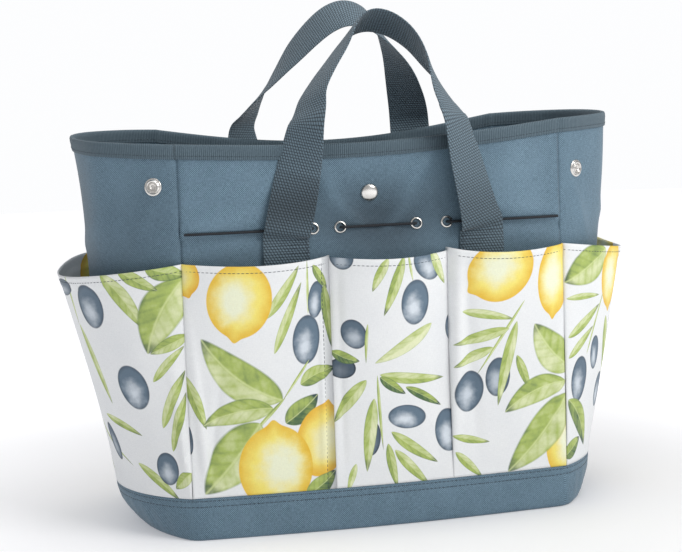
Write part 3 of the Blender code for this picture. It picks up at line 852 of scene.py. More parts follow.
olive_paint, start, finish, local = paint_group("olive_paint")
tree = olive_paint
cloth, depth = start.outputs["Vector"], start.outputs["Depth"]
radius = put(tree, "ShaderNodeVectorMath", {0: local}, operation="LENGTH").outputs["Value"]
mask = ramp_between(tree, radius, 1.0, 0.95)
shine = put(tree, "ShaderNodeVectorMath", {0: local, 1: (-0.12, -0.24, 0.0)}, operation="DISTANCE")
wash = noise(tree, cloth, 130.0, 5.0)
loose = scaled(tree, wash, 0.7, -0.35)
glow = ramp_between(tree, calc(tree, "ADD", shine.outputs["Value"], loose), 0.84, 0.04, smooth=True)
glow = times(tree, glow, calc(tree, "SUBTRACT", 1.15, depth), clamp=True)
ringed = ramp_between(tree, scaled(tree, wash, 0.25, radius), 0.92, 1.10)
skin = mixed(tree, scaled(tree, depth, 0.6, times(tree, ringed, 0.5),
                        clamp=True), rgb(100, 121, 139), rgb(36, 48, 62))
lit = mixed(tree, glow, skin, rgb(214, 222, 230))
tree.links.new(mixed(tree, mask, start.outputs["Under"], lit), finish.inputs["Colour"])

lemon_paint, start, finish, local = paint_group("lemon_paint")
tree = lemon_paint
cloth, depth = start.outputs["Vector"], start.outputs["Depth"]
split = put(tree, "ShaderNodeSeparateXYZ", {0: local})
thin = calc(tree, "EXPONENT", times(tree, times(tree, split.outputs["Y"],
                                                          split.outputs["Y"]), -42.0))
ahead = ramp_between(tree, split.outputs["X"], 0.0, 0.9)
nipple = times(tree, times(tree, thin, ahead), 0.13)
radius = put(tree, "ShaderNodeVectorMath", {0: local}, operation="LENGTH").outputs["Value"]
body = calc(tree, "SUBTRACT", radius, nipple)
mask = ramp_between(tree, body, 1.0, 0.975)
wash = noise(tree, cloth, 90.0, 4.0)
pores = put(tree, "ShaderNodeTexVoronoi", {"Vector": cloth, "Scale": 620.0}).outputs["Distance"]
loose = scaled(tree, wash, 0.55, -0.27)
shine = put(tree, "ShaderNodeVectorMath", {0: local, 1: (0.02, -0.16, 0.0)}, operation="DISTANCE")
pale = ramp_between(tree, calc(tree, "ADD", shine.outputs["Value"], loose), 0.82, 0.14, smooth=True)
rimmed = ramp_between(tree, calc(tree, "ADD", body, times(tree, loose, 0.6)), 0.62, 1.05)
peel = mixed(tree, rimmed, rgb(243, 227, 116), rgb(229, 184, 48))
peel = mixed(tree, times(tree, depth, scaled(tree, rimmed, 0.7, 0.2)),
             peel, rgb(228, 156, 38))
lit = mixed(tree, times(tree, pale, calc(tree, "SUBTRACT", 1.2, depth), clamp=True),
            peel, rgb(238, 241, 212))
spotted = mixed(tree, times(tree, ramp_between(tree, pores, 0.25, 0.0), 0.18), lit, rgb(214, 168, 40))
tree.links.new(mixed(tree, mask, start.outputs["Under"], spotted), finish.inputs["Colour"])


def leaf(base_x, base_y, tip_x, tip_y, width, depth=0.4, bend=0.0):
    """A leaf from its stalk to its tip, in millimetres from the pocket's lower left corner."""
    return ("leaf", base_x, base_y, tip_x, tip_y, width, depth, bend)


def olive(x, y, wide, tall, lean=0.0, depth=0.3):
    return ("olive", x, y, wide, tall, lean, depth, 0.0)


def lemon(x, y, wide, tall, lean=0.0, depth=0.2):
    """A lemon whose tip points down before it leans."""
    return ("lemon", x, y, wide, tall, lean, depth, 0.0)


def painted(tree, flat, under, motifs):
    """Paint motifs one over another on the cloth's colour."""
    colour = under
    for kind, first, second, third, fourth, fifth, depth, bend in motifs:
        if kind == "leaf":
            way = math.atan2(fourth - second, third - first)
            length = math.hypot(third - first, fourth - second)
            feeds = {"Centre": ((first + third) / 2000, (second + fourth) / 2000, 0.0),
                     "Turn": (0.0, 0.0, way), "Size": (length / 2000, fifth / 2000, 1.0), "Bend": bend}
            group = leaf_paint
        elif kind == "olive":
            feeds = {"Centre": (first / 1000, second / 1000, 0.0), "Turn": (0.0, 0.0, math.radians(fifth)),
                     "Size": (third / 2000, fourth / 2000, 1.0)}
            group = olive_paint
        else:
            feeds = {"Centre": (first / 1000, second / 1000, 0.0),
                     "Turn": (0.0, 0.0, math.radians(fifth - 90)), "Size": (fourth / 2000, third / 2000, 1.0)}
            group = lemon_paint
        feeds.update({"Vector": flat, "Under": colour, "Depth": depth})
        colour = group_node(tree, group, feeds).outputs["Colour"]
    return colour


def print_material(name, motifs, pleat=None):
    """Coated white canvas with a printed pattern; past the pleat, painted shade greys the strip in the
    pleat's valley.
    """
    material, tree, shader = new_material(name, 0.5, specular=0.4)
    flat = cloth_place(tree)
    weave = group_node(tree, oxford_weave, {"Vector": flat, "Pitch": 0.0011, "Slub": 0.6})
    ground = mixed(tree, weave.outputs["Cloud"], (0.76, 0.78, 0.80, 1.0), (0.86, 0.87, 0.87, 1.0))
    pattern = painted(tree, flat, ground, motifs)
    threads = mixed(tree, weave.outputs["Thread"], (0.62, 0.63, 0.65, 1.0), (1.0, 1.0, 1.0, 1.0))
    # Painted shade: the strip in the pleat's valley is darkened to grey.
    if pleat:
        past = put(tree, "ShaderNodeSeparateXYZ", {0: flat}).outputs["X"]
        pleat_painted_shade = times(tree, ramp_between(tree, past, pleat - 0.0004, pleat + 0.0004),
                       ramp_between(tree, past, pleat - 0.004, pleat + 0.010))
        pleat_painted_shade = mixed(tree, pleat_painted_shade, (1.0, 1.0, 1.0, 1.0), (0.34, 0.35, 0.37, 1.0))
        pattern = multiplied(tree, 1.0, pattern, pleat_painted_shade)
    tree.links.new(multiplied(tree, 0.42, pattern, threads), shader.inputs["Base Color"])
    rough = scaled(tree, weave.outputs["Thread"], -0.10, 0.56)
    tree.links.new(rough, shader.inputs["Roughness"])
    emboss(tree, shader, weave.outputs["Height"], 0.4, 0.00025)
    return material


# ---- front and rear pockets --------------------------------------------------------
# Three pockets in a row on each long face, of printed cloth with a turned and
# stitched hem; each stands off the wall and is sewn down at its side seams.
SEAM_LEFT = -0.0430
SEAM_RIGHT = 0.0585
POCKET_TOP = 0.2305
POCKET_CLOTH = 0.0012
PLEAT = 0.0075

left_print = print_material("print_left", [
    leaf(64, 150, 92, 192, 9, 0.35, 0.2), leaf(70, 120, 94, 178, 8, 0.35, -0.1),
    leaf(99, 150, 99, 196, 2.2, 0.3), lemon(-2, 186, 30, 36, 20, 0.6), lemon(43.5, 166, 52, 64, -9, 0.12),
    olive(97, 129, 24, 42, -4, 0.2), olive(106, 161, 14, 31, -6, 0.25), leaf(104, 190, 116, 168, 7, 0.7),
    leaf(113, 172, 119, 118, 9, 0.6), leaf(-2, 104, 13, 58, 9, 0.45, -0.1), olive(-1, 50, 7, 26, 4, 0.8),
    leaf(76, 80, 12, 134, 33, 0.42, -0.45), leaf(68, 74, 10, 61, 21, 0.40, 0.45),
    leaf(99, 112, 76, 80, 2.4, 0.4), leaf(78, 82, 46, 48, 3.2, 0.45, 0.2),
    leaf(57, 62, 10, 3, 41, 0.40, -0.12), leaf(78, 60, 106, 82, 20, 0.9, 0.1),
    leaf(91, 92, 121, 102, 15, 0.6, -0.3), lemon(108, 42, 44, 62, 170, 0.45),
    lemon(69, 22, 62, 75, 182, 0.1), leaf(94, -4, 119, 16, 16, 0.75, 0.2),
], pleat=HALF_WIDTH + SEAM_LEFT - PLEAT)
middle_print = print_material("print_middle", [
    olive(10, 195, 18, 21, 8, 0.5), leaf(46, 195, 33, 167, 8, 0.4, 0.1),
    leaf(59, 196, 42, 146, 9, 0.45, -0.2), leaf(63, 196, 67, 174, 2.4, 0.3),
    olive(80, 187, 22, 32, 35, 0.2), leaf(84, 199, 97, 167, 8, 0.2), olive(69, 156, 25, 39, -4, 0.1),
    olive(18, 131, 20, 26, 20, 0.5), olive(104, 130, 14, 26, 0, 0.4), leaf(29, 140, 27, 106, 2.6, 0.4, 0.4),
    leaf(84, 136, 34, 106, 12, 0.1, -0.3), olive(8, 102, 22, 18, 0, 1.0),
    leaf(0, 116, 22, 108, 10, 0.8, 0.3), leaf(38, 96, 95, 88, 10, 0.4, 0.25),
    leaf(38, 94, 60, 78, 9, 0.9, 0.1), leaf(60, 84, 92, 64, 8, 0.85, -0.1),
    leaf(27, 92, 0, 56, 11, 0.4, 0.2), leaf(36, 96, 40, 30, 2.6, 0.45, 0.3),
    olive(61, 58, 34, 21, -8, 0.15), olive(31, 41, 14, 30, -6, 0.8), olive(98, 42, 25, 38, 4, 0.15),
    leaf(33, 76, 26, 12, 11, 0.35, 0.1), leaf(47, 46, 88, 15, 10, 0.45, 0.2),
    leaf(44, 36, 52, -4, 8, 0.5, 0.1), leaf(50, 30, 80, -4, 9, 0.4, 0.1), leaf(17, 20, 9, -4, 6, 0.3),
])
right_print = print_material("print_right", [
    leaf(9, 142, 54, 136, 8, 0.35, -0.4), leaf(64, 152, 22, 88, 2.6, 0.4, 0.3),
    leaf(50, 128, 2, 113, 10, 0.35, 0.2), leaf(36, 112, 2, 94, 9, 0.35, 0.2),
    lemon(43, 178, 50, 61, -56, 0.15), lemon(93, 168, 34, 66, -4, 0.15), olive(15, 74, 25, 37, -15, 0.3),
    leaf(57, 104, 69, 72, 8, 0.6), olive(40, 86, 22, 35, -6, 0.45), leaf(57, 134, 40, 60, 10, 0.35, 0.2),
    lemon(102, 20, 34, 60, 178, 0.1), leaf(112, 84, 73, 130, 31, 0.35, -0.25),
    leaf(104, 75, 46, 54, 24, 0.42, 0.55), leaf(105, 64, 49, 0, 33, 0.42, -0.2),
    leaf(0, 36, 33, 29, 7, 0.45, 0.2), leaf(2, 22, 26, -2, 8, 0.4),
])


def pocket_lift(u, v, proud, fullness):
    """How far a pocket stands off the wall: nothing at its seams, most at its mouth."""
    return 0.0004 + proud * v ** 1.2 * math.sin(math.pi * min(max(u, 0.0), 1.0)) ** fullness


def hem_step(below_mouth, hem=0.0105):
    """The mouth's turned hem is two layers: it stands a little proud of the single cloth."""
    return 0.0006 * rise(below_mouth, hem + 0.0008, hem - 0.0004)


# Folds of each front pocket: across in pocket shares, height, lean, half length, half width, height.
POCKET_FOLDS = {
    "left": ((0.08, 0.090, 94, 0.070, 0.0035, 0.0030), (0.15, 0.075, 82, 0.055, 0.004, -0.0022),
             (0.925, 0.110, 89, 0.110, 0.0026, 0.0024), (0.45, 0.120, 80, 0.080, 0.030, 0.0015)),
    "middle": ((0.07, 0.130, 90, 0.110, 0.0030, -0.0012), (0.90, 0.120, 92, 0.100, 0.010, -0.0020),
               (0.40, 0.070, 100, 0.060, 0.020, 0.0014)),
    "right": ((0.05, 0.150, 88, 0.090, 0.0055, 0.0042), (0.16, 0.140, 94, 0.090, 0.006, -0.0018),
              (0.60, 0.100, 76, 0.060, 0.020, 0.0016), (0.93, 0.100, 90, 0.080, 0.004, 0.0016)),
}
POCKET_FULLNESS = {"left": 0.66, "middle": 0.74, "right": 0.50}
PRINTS = {"left": left_print, "middle": middle_print, "right": right_print}
POCKET_SPANS = {"left": (-HALF_WIDTH, SEAM_LEFT), "middle": (SEAM_LEFT, SEAM_RIGHT),
                "right": (SEAM_RIGHT, HALF_WIDTH)}


def face_pocket_point(u, v, side, place, lift=0.0):
    """A point of a front or rear pocket; u runs across by +X on both faces."""
    start, stop = POCKET_SPANS[place]
    x = start + u * (stop - start)
    corner = {"left": 0.0015 * u ** 8, "middle": 0.0, "right": 0.0028 * (1 - u) ** 6}[place]
    height = POCKET_FOOT + v * (POCKET_TOP - 0.003 * math.sin(math.pi * u) + corner - POCKET_FOOT)
    out = pocket_lift(u, v, 0.019, POCKET_FULLNESS[place]) + lift
    out += hem_step((1 - v) * (POCKET_TOP - POCKET_FOOT))
    for middle, level, lean, long, wide, high in POCKET_FOLDS[place]:
        ridge = fold((u - middle) * (stop - start), height, 0.0, level, lean, long, wide, high)
        out += ridge * min(v * 6, 1.0)
    out = max(out, 0.0003 + lift)
    return on_face(side * x, out, height, side)


for side, face in ((1, "front"), (-1, "rear")):
    mouth_rows = []
    for place, (start, stop) in POCKET_SPANS.items():
        def pocket_point(u, v, side=side, place=place):
            return face_pocket_point(u if side > 0 else 1 - u, v, side, place)
        pocket = cloth_sheet(f"{face}_{place}_pocket_cloth", pocket_point, 72, 90, stop - start,
                             POCKET_TOP - POCKET_FOOT, PRINTS[place], POCKET_CLOTH, 1)
        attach(pocket, "bag")
        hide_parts(f"{face}_pocket_{place}")
        down = 1 - 0.0056 / (POCKET_TOP - POCKET_FOOT)
        mouth_rows.append([face_pocket_point(0.004 + 0.992 * index / 60, down, side, place, 0.0013)
                           for index in range(61)])
    pleat_share = 1 - PLEAT / (HALF_WIDTH + SEAM_LEFT)
    mouth_rows.append([face_pocket_point(pleat_share, 0.01 + 0.96 * index / 60, side, "left", 0.0013)
                       for index in range(61)])
    sewn(f"{face}_pocket_stitches", mouth_rows, pitch=0.0036, length=0.0030, thread=0.0005)


# ---- end pockets -------------------------------------------------------------------
# One wide pocket wraps each rounded end wall and stands well off it, so that its
# mouth gapes and dips; its sides are sewn into the corner seams.
left_end_print = print_material("print_left_end", [
    leaf(202, 196, 230, 146, 14, 0.38, -0.2), leaf(160, 196, 161, 150, 3, 0.4, 0.2),
    leaf(162, 152, 187, 80, 8, 0.35, -0.3), leaf(264, 184, 231, 124, 36, 0.42, 0.25),
    leaf(216, 198, 244, 176, 11, 0.5, 0.2), leaf(236, 197, 264, 185, 15, 0.6, 0.1),
    leaf(264, 136, 233, 124, 12, 0.45), olive(185, 168, 27, 40, 10, 0.35), olive(148, 184, 36, 16, 6, 0.65),
    leaf(122, 146, 131, 70, 3, 0.4, -0.3), leaf(132, 72, 198, 24, 3, 0.4, 0.3),
    olive(214, 96, 28, 41, 20, 0.2), leaf(172, 70, 216, 53, 7, 0.4, -0.2), olive(175, 45, 13, 36, 18, 0.6),
    leaf(205, 28, 250, -2, 9, 0.45, -0.2), olive(239, 25, 23, 29, 12, 0.35),
    leaf(233, 100, 261, 128, 8, 0.35, -0.1), leaf(238, 60, 261, 108, 10, 0.4, -0.2),
    leaf(246, 40, 261, 90, 9, 0.45, -0.1), leaf(262, 22, 246, 8, 12, 0.4),
    leaf(112, 186, 87, 130, 12, 0.4, -0.2), lemon(60, 168, 46, 56, 10, 0.3),
    olive(102, 90, 22, 34, 12, 0.3), leaf(90, 70, 45, 96, 22, 0.42, -0.2),
    leaf(112, 30, 64, 4, 16, 0.42, 0.2), lemon(28, 40, 46, 58, 170, 0.3),
    leaf(142, 12, 112, 40, 10, 0.7, -0.2), leaf(54, 12, 82, 52, 3, 0.4, -0.3),
    olive(18, 128, 22, 34, -10, 0.3), leaf(40, 116, 4, 100, 9, 0.4, 0.2),
])
right_end_print = print_material("print_right_end", [
    leaf(46, 192, 1, 160, 32, 0.45, -0.1), leaf(2, 146, 44, 150, 6, 0.35, -0.3),
    leaf(3, 112, 46, 142, 9, 0.4, 0.2), leaf(3, 94, 38, 122, 8, 0.4, 0.1),
    leaf(30, 96, 53, 158, 2.6, 0.4, 0.1), lemon(64, 168, 38, 62, 6, 0.2), olive(19, 75, 26, 42, -12, 0.3),
    olive(46, 97, 18, 32, 4, 0.25), leaf(2, 58, 37, 12, 22, 0.75, -0.45), leaf(-4, 8, 24, 22, 16, 0.8, 0.1),
    leaf(64, 130, 92, 60, 14, 0.45, 0.2), olive(70, 60, 24, 34, -14, 0.3), lemon(112, 40, 52, 62, 176, 0.2),
    leaf(96, 100, 150, 130, 24, 0.42, 0.2), lemon(142, 184, 74, 40, 82, 0.15),
    leaf(112, 168, 128, 132, 11, 0.4, 0.2), olive(158, 92, 22, 36, 10, 0.4),
    olive(92, 118, 22, 34, 14, 0.3), leaf(176, 128, 152, 108, 10, 0.5, 0.2),
    leaf(240, 182, 222, 128, 14, 0.42, -0.2), leaf(214, 112, 252, 96, 11, 0.45, 0.2),
    olive(246, 150, 20, 32, -8, 0.35), leaf(150, 60, 206, 84, 22, 0.42, 0.25),
    lemon(196, 150, 44, 54, 6, 0.3), leaf(170, 30, 210, 2, 12, 0.5, 0.2), olive(226, 60, 20, 32, -8, 0.2),
    leaf(150, 8, 120, 2, 10, 0.7, 0.1),
])
END_POCKET_FOLDS = (
    (-0.114, 0.110, 92, 0.090, 0.012, 0.0014), (0.114, 0.064, 92, 0.060, 0.0034, 0.0032),
    (0.121, 0.075, 90, 0.080, 0.0040, -0.0018), (0.100, 0.140, 90, 0.070, 0.012, -0.0012),
    (-0.040, 0.120, 96, 0.080, 0.020, 0.0020), (0.045, 0.120, 84, 0.080, 0.020, 0.0020),
    (0.000, 0.100, 90, 0.070, 0.016, -0.0016),
)


END_POCKET_PROUD = {1: 0.021, -1: 0.024}


def end_pocket_point(u, v, end, lift=0.0):
    """A point of an end pocket; u runs left to right from outside."""
    from_front = u if end > 0 else 1 - u
    mouth = POCKET_TOP - 0.011 * math.sin(math.pi * u) + 0.009 * hump(from_front, 0.74, 0.17)
    height = POCKET_FOOT + v * (mouth - POCKET_FOOT)
    half = end_half(height, end)
    across = (2 * u - 1) * half
    out = pocket_lift(u, v, END_POCKET_PROUD[end], 0.6) + lift + hem_step((1 - v) * (mouth - POCKET_FOOT))
    for middle, level, lean, long, wide, high in END_POCKET_FOLDS:
        out += fold(across, height, middle, level, lean, long, wide, high) * min(v * 6, 1.0)
    return on_end(across, max(out, 0.0003 + lift), height, end)


for end, name, cloth in ((1, "right", right_end_print), (-1, "left", left_end_print)):
    def pocket_point(u, v, end=end):
        return end_pocket_point(u, v, end)
    pocket = cloth_sheet(f"{name}_end_pocket_cloth", pocket_point, 120, 84, 0.262, POCKET_TOP - POCKET_FOOT,
                         cloth, POCKET_CLOTH, 1)
    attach(pocket, "bag")
    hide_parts(f"{name}_pocket")
    down = 1 - 0.0056 / (POCKET_TOP - POCKET_FOOT)
    row = [end_pocket_point(0.004 + 0.992 * index / 110, down, end, 0.0013) for index in range(111)]
    sewn(f"{name}_pocket_stitches", [row], pitch=0.0036, length=0.0030, thread=0.0005)


# ---- handles ---------------------------------------------------------------------------
# Two loops of 38 mm polypropylene webbing, sewn flat to the long walls inside the
# pockets. Each rises free of the wall and turns on edge towards the top of its loop.
FOOT_BOTTOM = 0.186
LOOP_LINE = 0.3400
LOOP_OUT = 0.0110
STRAP_WIDTH = 0.038
STRAP_CLOTH = 0.0018
STRAP_FEET = (-0.0770, 0.0900)
LOOP_LEAN = math.radians(25.0)
LEG_LINE = ((0.2470, 0.0013), (0.2500, 0.0038), (0.2540, 0.0064), (0.2700, 0.0074), (0.2950, 0.0086),
            (0.3180, 0.0100), (0.3390, 0.0110))
LOOP_LINES = {
    1: ((-0.0584, 0.0), (-0.0545, 0.012), (-0.0502, 0.0256), (-0.0395, 0.043), (-0.0260, 0.0616),
        (-0.0140, 0.079), (-0.0040, 0.089), (0.0080, 0.0925), (0.0210, 0.089), (0.0330, 0.080),
        (0.0425, 0.067), (0.0520, 0.045), (0.0585, 0.022), (0.0635, 0.009), (0.0665, 0.0)),
    -1: ((-0.0780, 0.0), (-0.0715, 0.0136), (-0.0640, 0.027), (-0.0550, 0.041), (-0.0340, 0.071),
         (-0.0135, 0.095), (0.0030, 0.1085), (0.0190, 0.113), (0.0360, 0.1075), (0.0500, 0.094),
         (0.0640, 0.073), (0.0730, 0.054), (0.0810, 0.029), (0.0850, 0.013), (0.0873, 0.0)),
}
# How far each strap has turned from flat, in degrees, by height: left leg, then right leg.
STRAP_TURNS = {
    1: (((0.256, 0), (0.285, 20), (0.300, 30), (0.325, 42), (0.340, 52), (0.365, 64), (0.400, 72),
         (0.412, 80), (0.424, 90)),
        ((0.248, 0), (0.256, 14), (0.267, 22), (0.292, 29), (0.317, 35), (0.340, 42), (0.366, 56),
         (0.378, 66), (0.390, 79), (0.424, 90))),
    -1: (((0.256, 0), (0.300, 18), (0.325, 32), (0.350, 52), (0.383, 78), (0.410, 98), (0.442, 108)),
         ((0.262, 0), (0.325, 12), (0.360, 30), (0.385, 50), (0.410, 74), (0.442, 108))),
}

webbing, tree, shader = new_material("slate_webbing", 0.7, specular=0.35)
flat = cloth_place(tree)
split = put(tree, "ShaderNodeSeparateXYZ", {0: flat})
rows = calc(tree, "DIVIDE", split.outputs["Y"], 0.00230)
row_number = calc(tree, "FLOOR", rows)
every_other = times(tree, calc(tree, "MODULO", row_number, 2.0), 0.5)
columns = calc(tree, "ADD", calc(tree, "DIVIDE", split.outputs["X"], 0.0026), every_other)
slant = scaled(tree, calc(tree, "FRACT", rows), 0.35, columns)
lump_x = calc(tree, "ABSOLUTE", calc(tree, "SINE", times(tree, slant, math.pi)))
lump_y = calc(tree, "ABSOLUTE", calc(tree, "SINE", times(tree, rows, math.pi)))
lump = times(tree, calc(tree, "POWER", lump_x, 0.6), calc(tree, "POWER", lump_y, 0.5))
fibre = noise(tree, flat, 900.0, 2.0)
tone = scaled(tree, lump, 0.85, scaled(tree, fibre, 0.5, -0.30), clamp=True)
# Painted shade from each strap's stored values darkens the webbing's colour.
tree.links.new(with_painted_fold_shade(tree, mixed(tree, tone, (0.006, 0.012, 0.018, 1.0), (0.180, 0.262, 0.322, 1.0))),
               shader.inputs["Base Color"])
emboss(tree, shader, lump, 0.8, 0.0005)
shader.inputs["Sheen Weight"].default_value = 0.15


def through_points(points, step):
    """Points on one smooth line through the given points."""
    line = []
    count = len(points)
    for index in range(count - 1):
        before = points[max(index - 1, 0)]
        here = points[index]
        there = points[index + 1]
        after = points[min(index + 2, count - 1)]
        steps = max(1, round((there - here).length / step))
        for part in range(steps):
            t = part / steps
            line.append(0.5 * ((2 * here) + (there - before) * t
                               + (2 * before - 5 * here + 4 * there - after) * t * t
                               + (3 * here - before - 3 * there + after) * t ** 3))
    line.append(points[-1])
    return line


def tape_cut(centre, across, normal, cup):
    """A cut through webbing with rounded edges, bowed a little by cup."""
    steps = 10
    half = STRAP_WIDTH / 2
    half_cloth = STRAP_CLOTH / 2
    front = []
    rear = []
    for index in range(steps + 1):
        spot = 2 * index / steps - 1
        thin = half_cloth * (1.0 if abs(spot) < 0.99 else 0.45)
        rim = 1.0 if abs(spot) < 0.99 else 1.006
        bow = cup * (1 - spot * spot)
        front.append(centre + across * (half * spot * rim) + normal * (bow + thin))
        rear.append(centre + across * (half * spot * rim) + normal * (bow - thin))
    return front + list(reversed(rear))


def leg_point(side, foot_x, loop_x, height, lift):
    """The free strap between the foot and the rim."""
    share = min(max((height - 0.2490) / (0.3390 - 0.2490), 0.0), 1.0)
    x = foot_x + (loop_x - foot_x) * share
    out = FRONT_CONVEX * (1 - math.cos(math.pi * x / WIDTH)) * share + lift
    return on_face(side * x, out, height, side)


def handle_path(side):
    """The whole strap from its left foot over the loop to its right foot: points and turns."""
    line = LOOP_LINES[side]
    up = Vector((0, side * math.sin(LOOP_LEAN), math.cos(LOOP_LEAN)))
    hinge = Vector((0, -side * (HALF_DEPTH + FRONT_CONVEX + LOOP_OUT), LOOP_LINE))
    left_x, right_x = line[0][0], line[-1][0]
    foot_heights = (FOOT_BOTTOM, 0.200, 0.215, 0.230, 0.240)
    left = [on_face(side * STRAP_FEET[0], 0.0014, height, side) for height in foot_heights]
    left += [leg_point(side, STRAP_FEET[0], left_x, height, lift) for height, lift in LEG_LINE[:-1]]
    right = [on_face(side * STRAP_FEET[1], 0.0014, height, side) for height in foot_heights]
    right += [leg_point(side, STRAP_FEET[1], right_x, height, lift) for height, lift in LEG_LINE[:-1]]
    loop = [hinge + Vector((x, 0, 0)) + up * lift for x, lift in line]
    return left, loop, list(reversed(right))


def turn_at(height, table):
    """The turn at a height, read between the table's rows."""
    if height <= table[0][0]:
        return table[0][1]
    for (low, first), (high, second) in zip(table, table[1:]):
        if height <= high:
            return first + (second - first) * (height - low) / (high - low)
    return table[-1][1]


def strap_across(side, point, tangent, left):
    """The strap's width direction: flat to the wall low down, turning outwards higher up."""
    lean = LOOP_LEAN * rise(point.z, 0.305, 0.370)
    face = Vector((0, -side * math.cos(lean), math.sin(lean)))
    outward = tangent.cross(face).normalized() * -side
    turn = math.radians(turn_at(point.z, STRAP_TURNS[side][0 if left else 1]))
    return tangent.cross(face * math.cos(turn) + outward * math.sin(turn)).normalized()


def strap_cuts(side, path, middle_x):
    """The cuts through the strap along a path, its turning smoothed."""
    tangents = []
    for index in range(len(path)):
        before = path[max(index - 2, 0)]
        after = path[min(index + 2, len(path) - 1)]
        tangents.append((after - before).normalized())
    widths = [strap_across(side, point, tangent, point.x < middle_x)
              for point, tangent in zip(path, tangents)]
    for _ in range(14):
        before = [widths[0]] + widths[:-1]
        after = widths[1:] + [widths[-1]]
        widths = [(one + two * 2 + three).normalized() for one, two, three in zip(before, widths, after)]
    cuts = []
    for centre, tangent, across in zip(path, tangents, widths):
        normal = across.cross(tangent).normalized()
        across = tangent.cross(normal).normalized()
        cup = 0.0008 * rise(centre.z, 0.252, 0.290)
        cuts.append(tape_cut(centre, across, normal, cup))
    return cuts


SPLIT_HEIGHT = 0.300
for side, face in ((1, "front"), (-1, "rear")):
    left, loop, right = handle_path(side)
    path = through_points(left + loop + right, 0.0024)
    middle_x = max(LOOP_LINES[side], key=lambda spot: spot[1])[0]
    cuts = strap_cuts(side, path, middle_x)
    along = [0.0]
    for first, second in zip(path, path[1:]):
        along.append(along[-1] + (second - first).length)
    low = [index for index, point in enumerate(path) if point.z <= SPLIT_HEIGHT]
    low_left = max(index for index in low if path[index].x < middle_x)
    low_right = min(index for index in low if path[index].x > middle_x)
    for place, first, last in (("left", 0, low_left), ("right", low_right, len(path) - 1)):
        lower = section_loft(f"{face}_strap_{place}", cuts[first:last + 1], webbing, False,
                             along[first:last + 1], sharp=60.0)
        # Painted shade on each lower strap around the cord's height, deeper on the left strap.
        shade_at = {"left": 0.272, "right": 0.262}[place]
        shade_deep = {"left": 0.0062, "right": 0.0030}[place]
        store_painted_shade(lower, lambda spot, at=shade_at, deep=shade_deep: deep * hump(spot.z, at, 0.024))
        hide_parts(f"{face}_strap_foot_{place}", f"{face}_handle_{place}_leg")
        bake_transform(lower)
    upper = section_loft(f"{face}_strap_loop", cuts[low_left:low_right + 1], webbing, False,
                         along[low_left:low_right + 1], sharp=60.0)
    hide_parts(f"{face}_handle_loop")
    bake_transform(upper)
    rows = []
    for middle in STRAP_FEET:
        for height in (0.2350, 0.2385, 0.2420, 0.2455):
            rows.append([on_face(side * (middle + (index / 8 - 0.5) * 0.034), 0.0024, height, side)
                         for index in range(9)])
        for edge in (-0.0168, 0.0168):
            rows.append([on_face(side * (middle + edge), 0.0024, 0.189 + 0.0046 * index, side)
                         for index in range(13)])
    sewn(f"{face}_strap_stitches", rows, pitch=0.0030, length=0.0026, thread=0.00055)


# ---- eyelets and snaps ---------------------------------------------------------------------
# Pressed nickel-plated fittings: rolled eyelets for the cords, and spring snaps
# whose domed caps, sockets and studs grip the cloth of the walls between them.
nickel, tree, shader = new_material("nickel", 0.24, metallic=1.0)
place = object_place(tree)
haze = noise(tree, place, 260.0, 4.0)
brushed = noise(tree, place, 2400.0, 2.0)
tree.links.new(mixed(tree, haze, (0.52, 0.50, 0.47, 1.0), (0.80, 0.79, 0.77, 1.0)),
               shader.inputs["Base Color"])
tree.links.new(scaled(tree, haze, 0.22, 0.14), shader.inputs["Roughness"])
emboss(tree, shader, brushed, 0.25, 0.00008)


def turned(name, profile, seat, material, node, steps=36):
    """A fitting turned about its seat's Z from a profile of radius and height."""
    points = []
    faces = []
    rings = []
    for radius, height in profile:
        if radius < 1e-6:
            rings.append([len(points)] * steps)
            points.append(seat @ Vector((0, 0, height)))
            continue
        rings.append(list(range(len(points), len(points) + steps)))
        for step in range(steps):
            turn = 2 * math.pi * step / steps
            points.append(seat @ Vector((radius * math.cos(turn), radius * math.sin(turn), height)))
    pairs = list(zip(rings, rings[1:]))
    if profile[0][0] > 1e-6:
        pairs.append((rings[-1], rings[0]))
    for first, second in pairs:
        for step in range(steps):
            after = (step + 1) % steps
            corners = [first[step], first[after], second[after], second[step]]
            faces.append(tuple(dict.fromkeys(corners)))
    piece = turned_outward(mesh_object(name, points, faces, material, None, sharp=None), 40.0)
    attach(piece, "bag")
    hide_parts(node)
    return piece


def seat_at(point_at, across, height):
    """A seat on the cloth: its origin on the outer face and its Z looking out."""
    here = point_at(across, 0.0, height)
    right = point_at(across + 0.002, 0.0, height) - point_at(across - 0.002, 0.0, height)
    up = point_at(across, 0.0, height + 0.002) - point_at(across, 0.0, height - 0.002)
    outward = right.cross(up).normalized()
    return Matrix.Translation(here) @ outward.to_track_quat("Z", "Y").to_matrix().to_4x4()


EYELETS = (-0.0535, -0.0305, 0.0345, 0.0605)
EYELET_CUT = ((0.0032, -0.0020), (0.0032, 0.0002), (0.0034, 0.0011), (0.0039, 0.0016), (0.0046, 0.0015),
              (0.0052, 0.0009), (0.0054, 0.0002), (0.0052, -0.0001), (0.0041, -0.0001), (0.0041, -0.0018),
              (0.0054, -0.0020), (0.0054, -0.0025), (0.0038, -0.0027))
for side, face in ((1, "front"), (-1, "rear")):
    def face_surface(across, out, height, side=side):
        return on_face(across, out + face_relief(across, height), height, side)
    for number, x in enumerate(EYELETS, start=1):
        seat = seat_at(face_surface, side * x, CORD_HEIGHT)
        turned(f"{face}_eyelet_ring_{number}", EYELET_CUT, seat, nickel, f"{face}_eyelet_{number}")

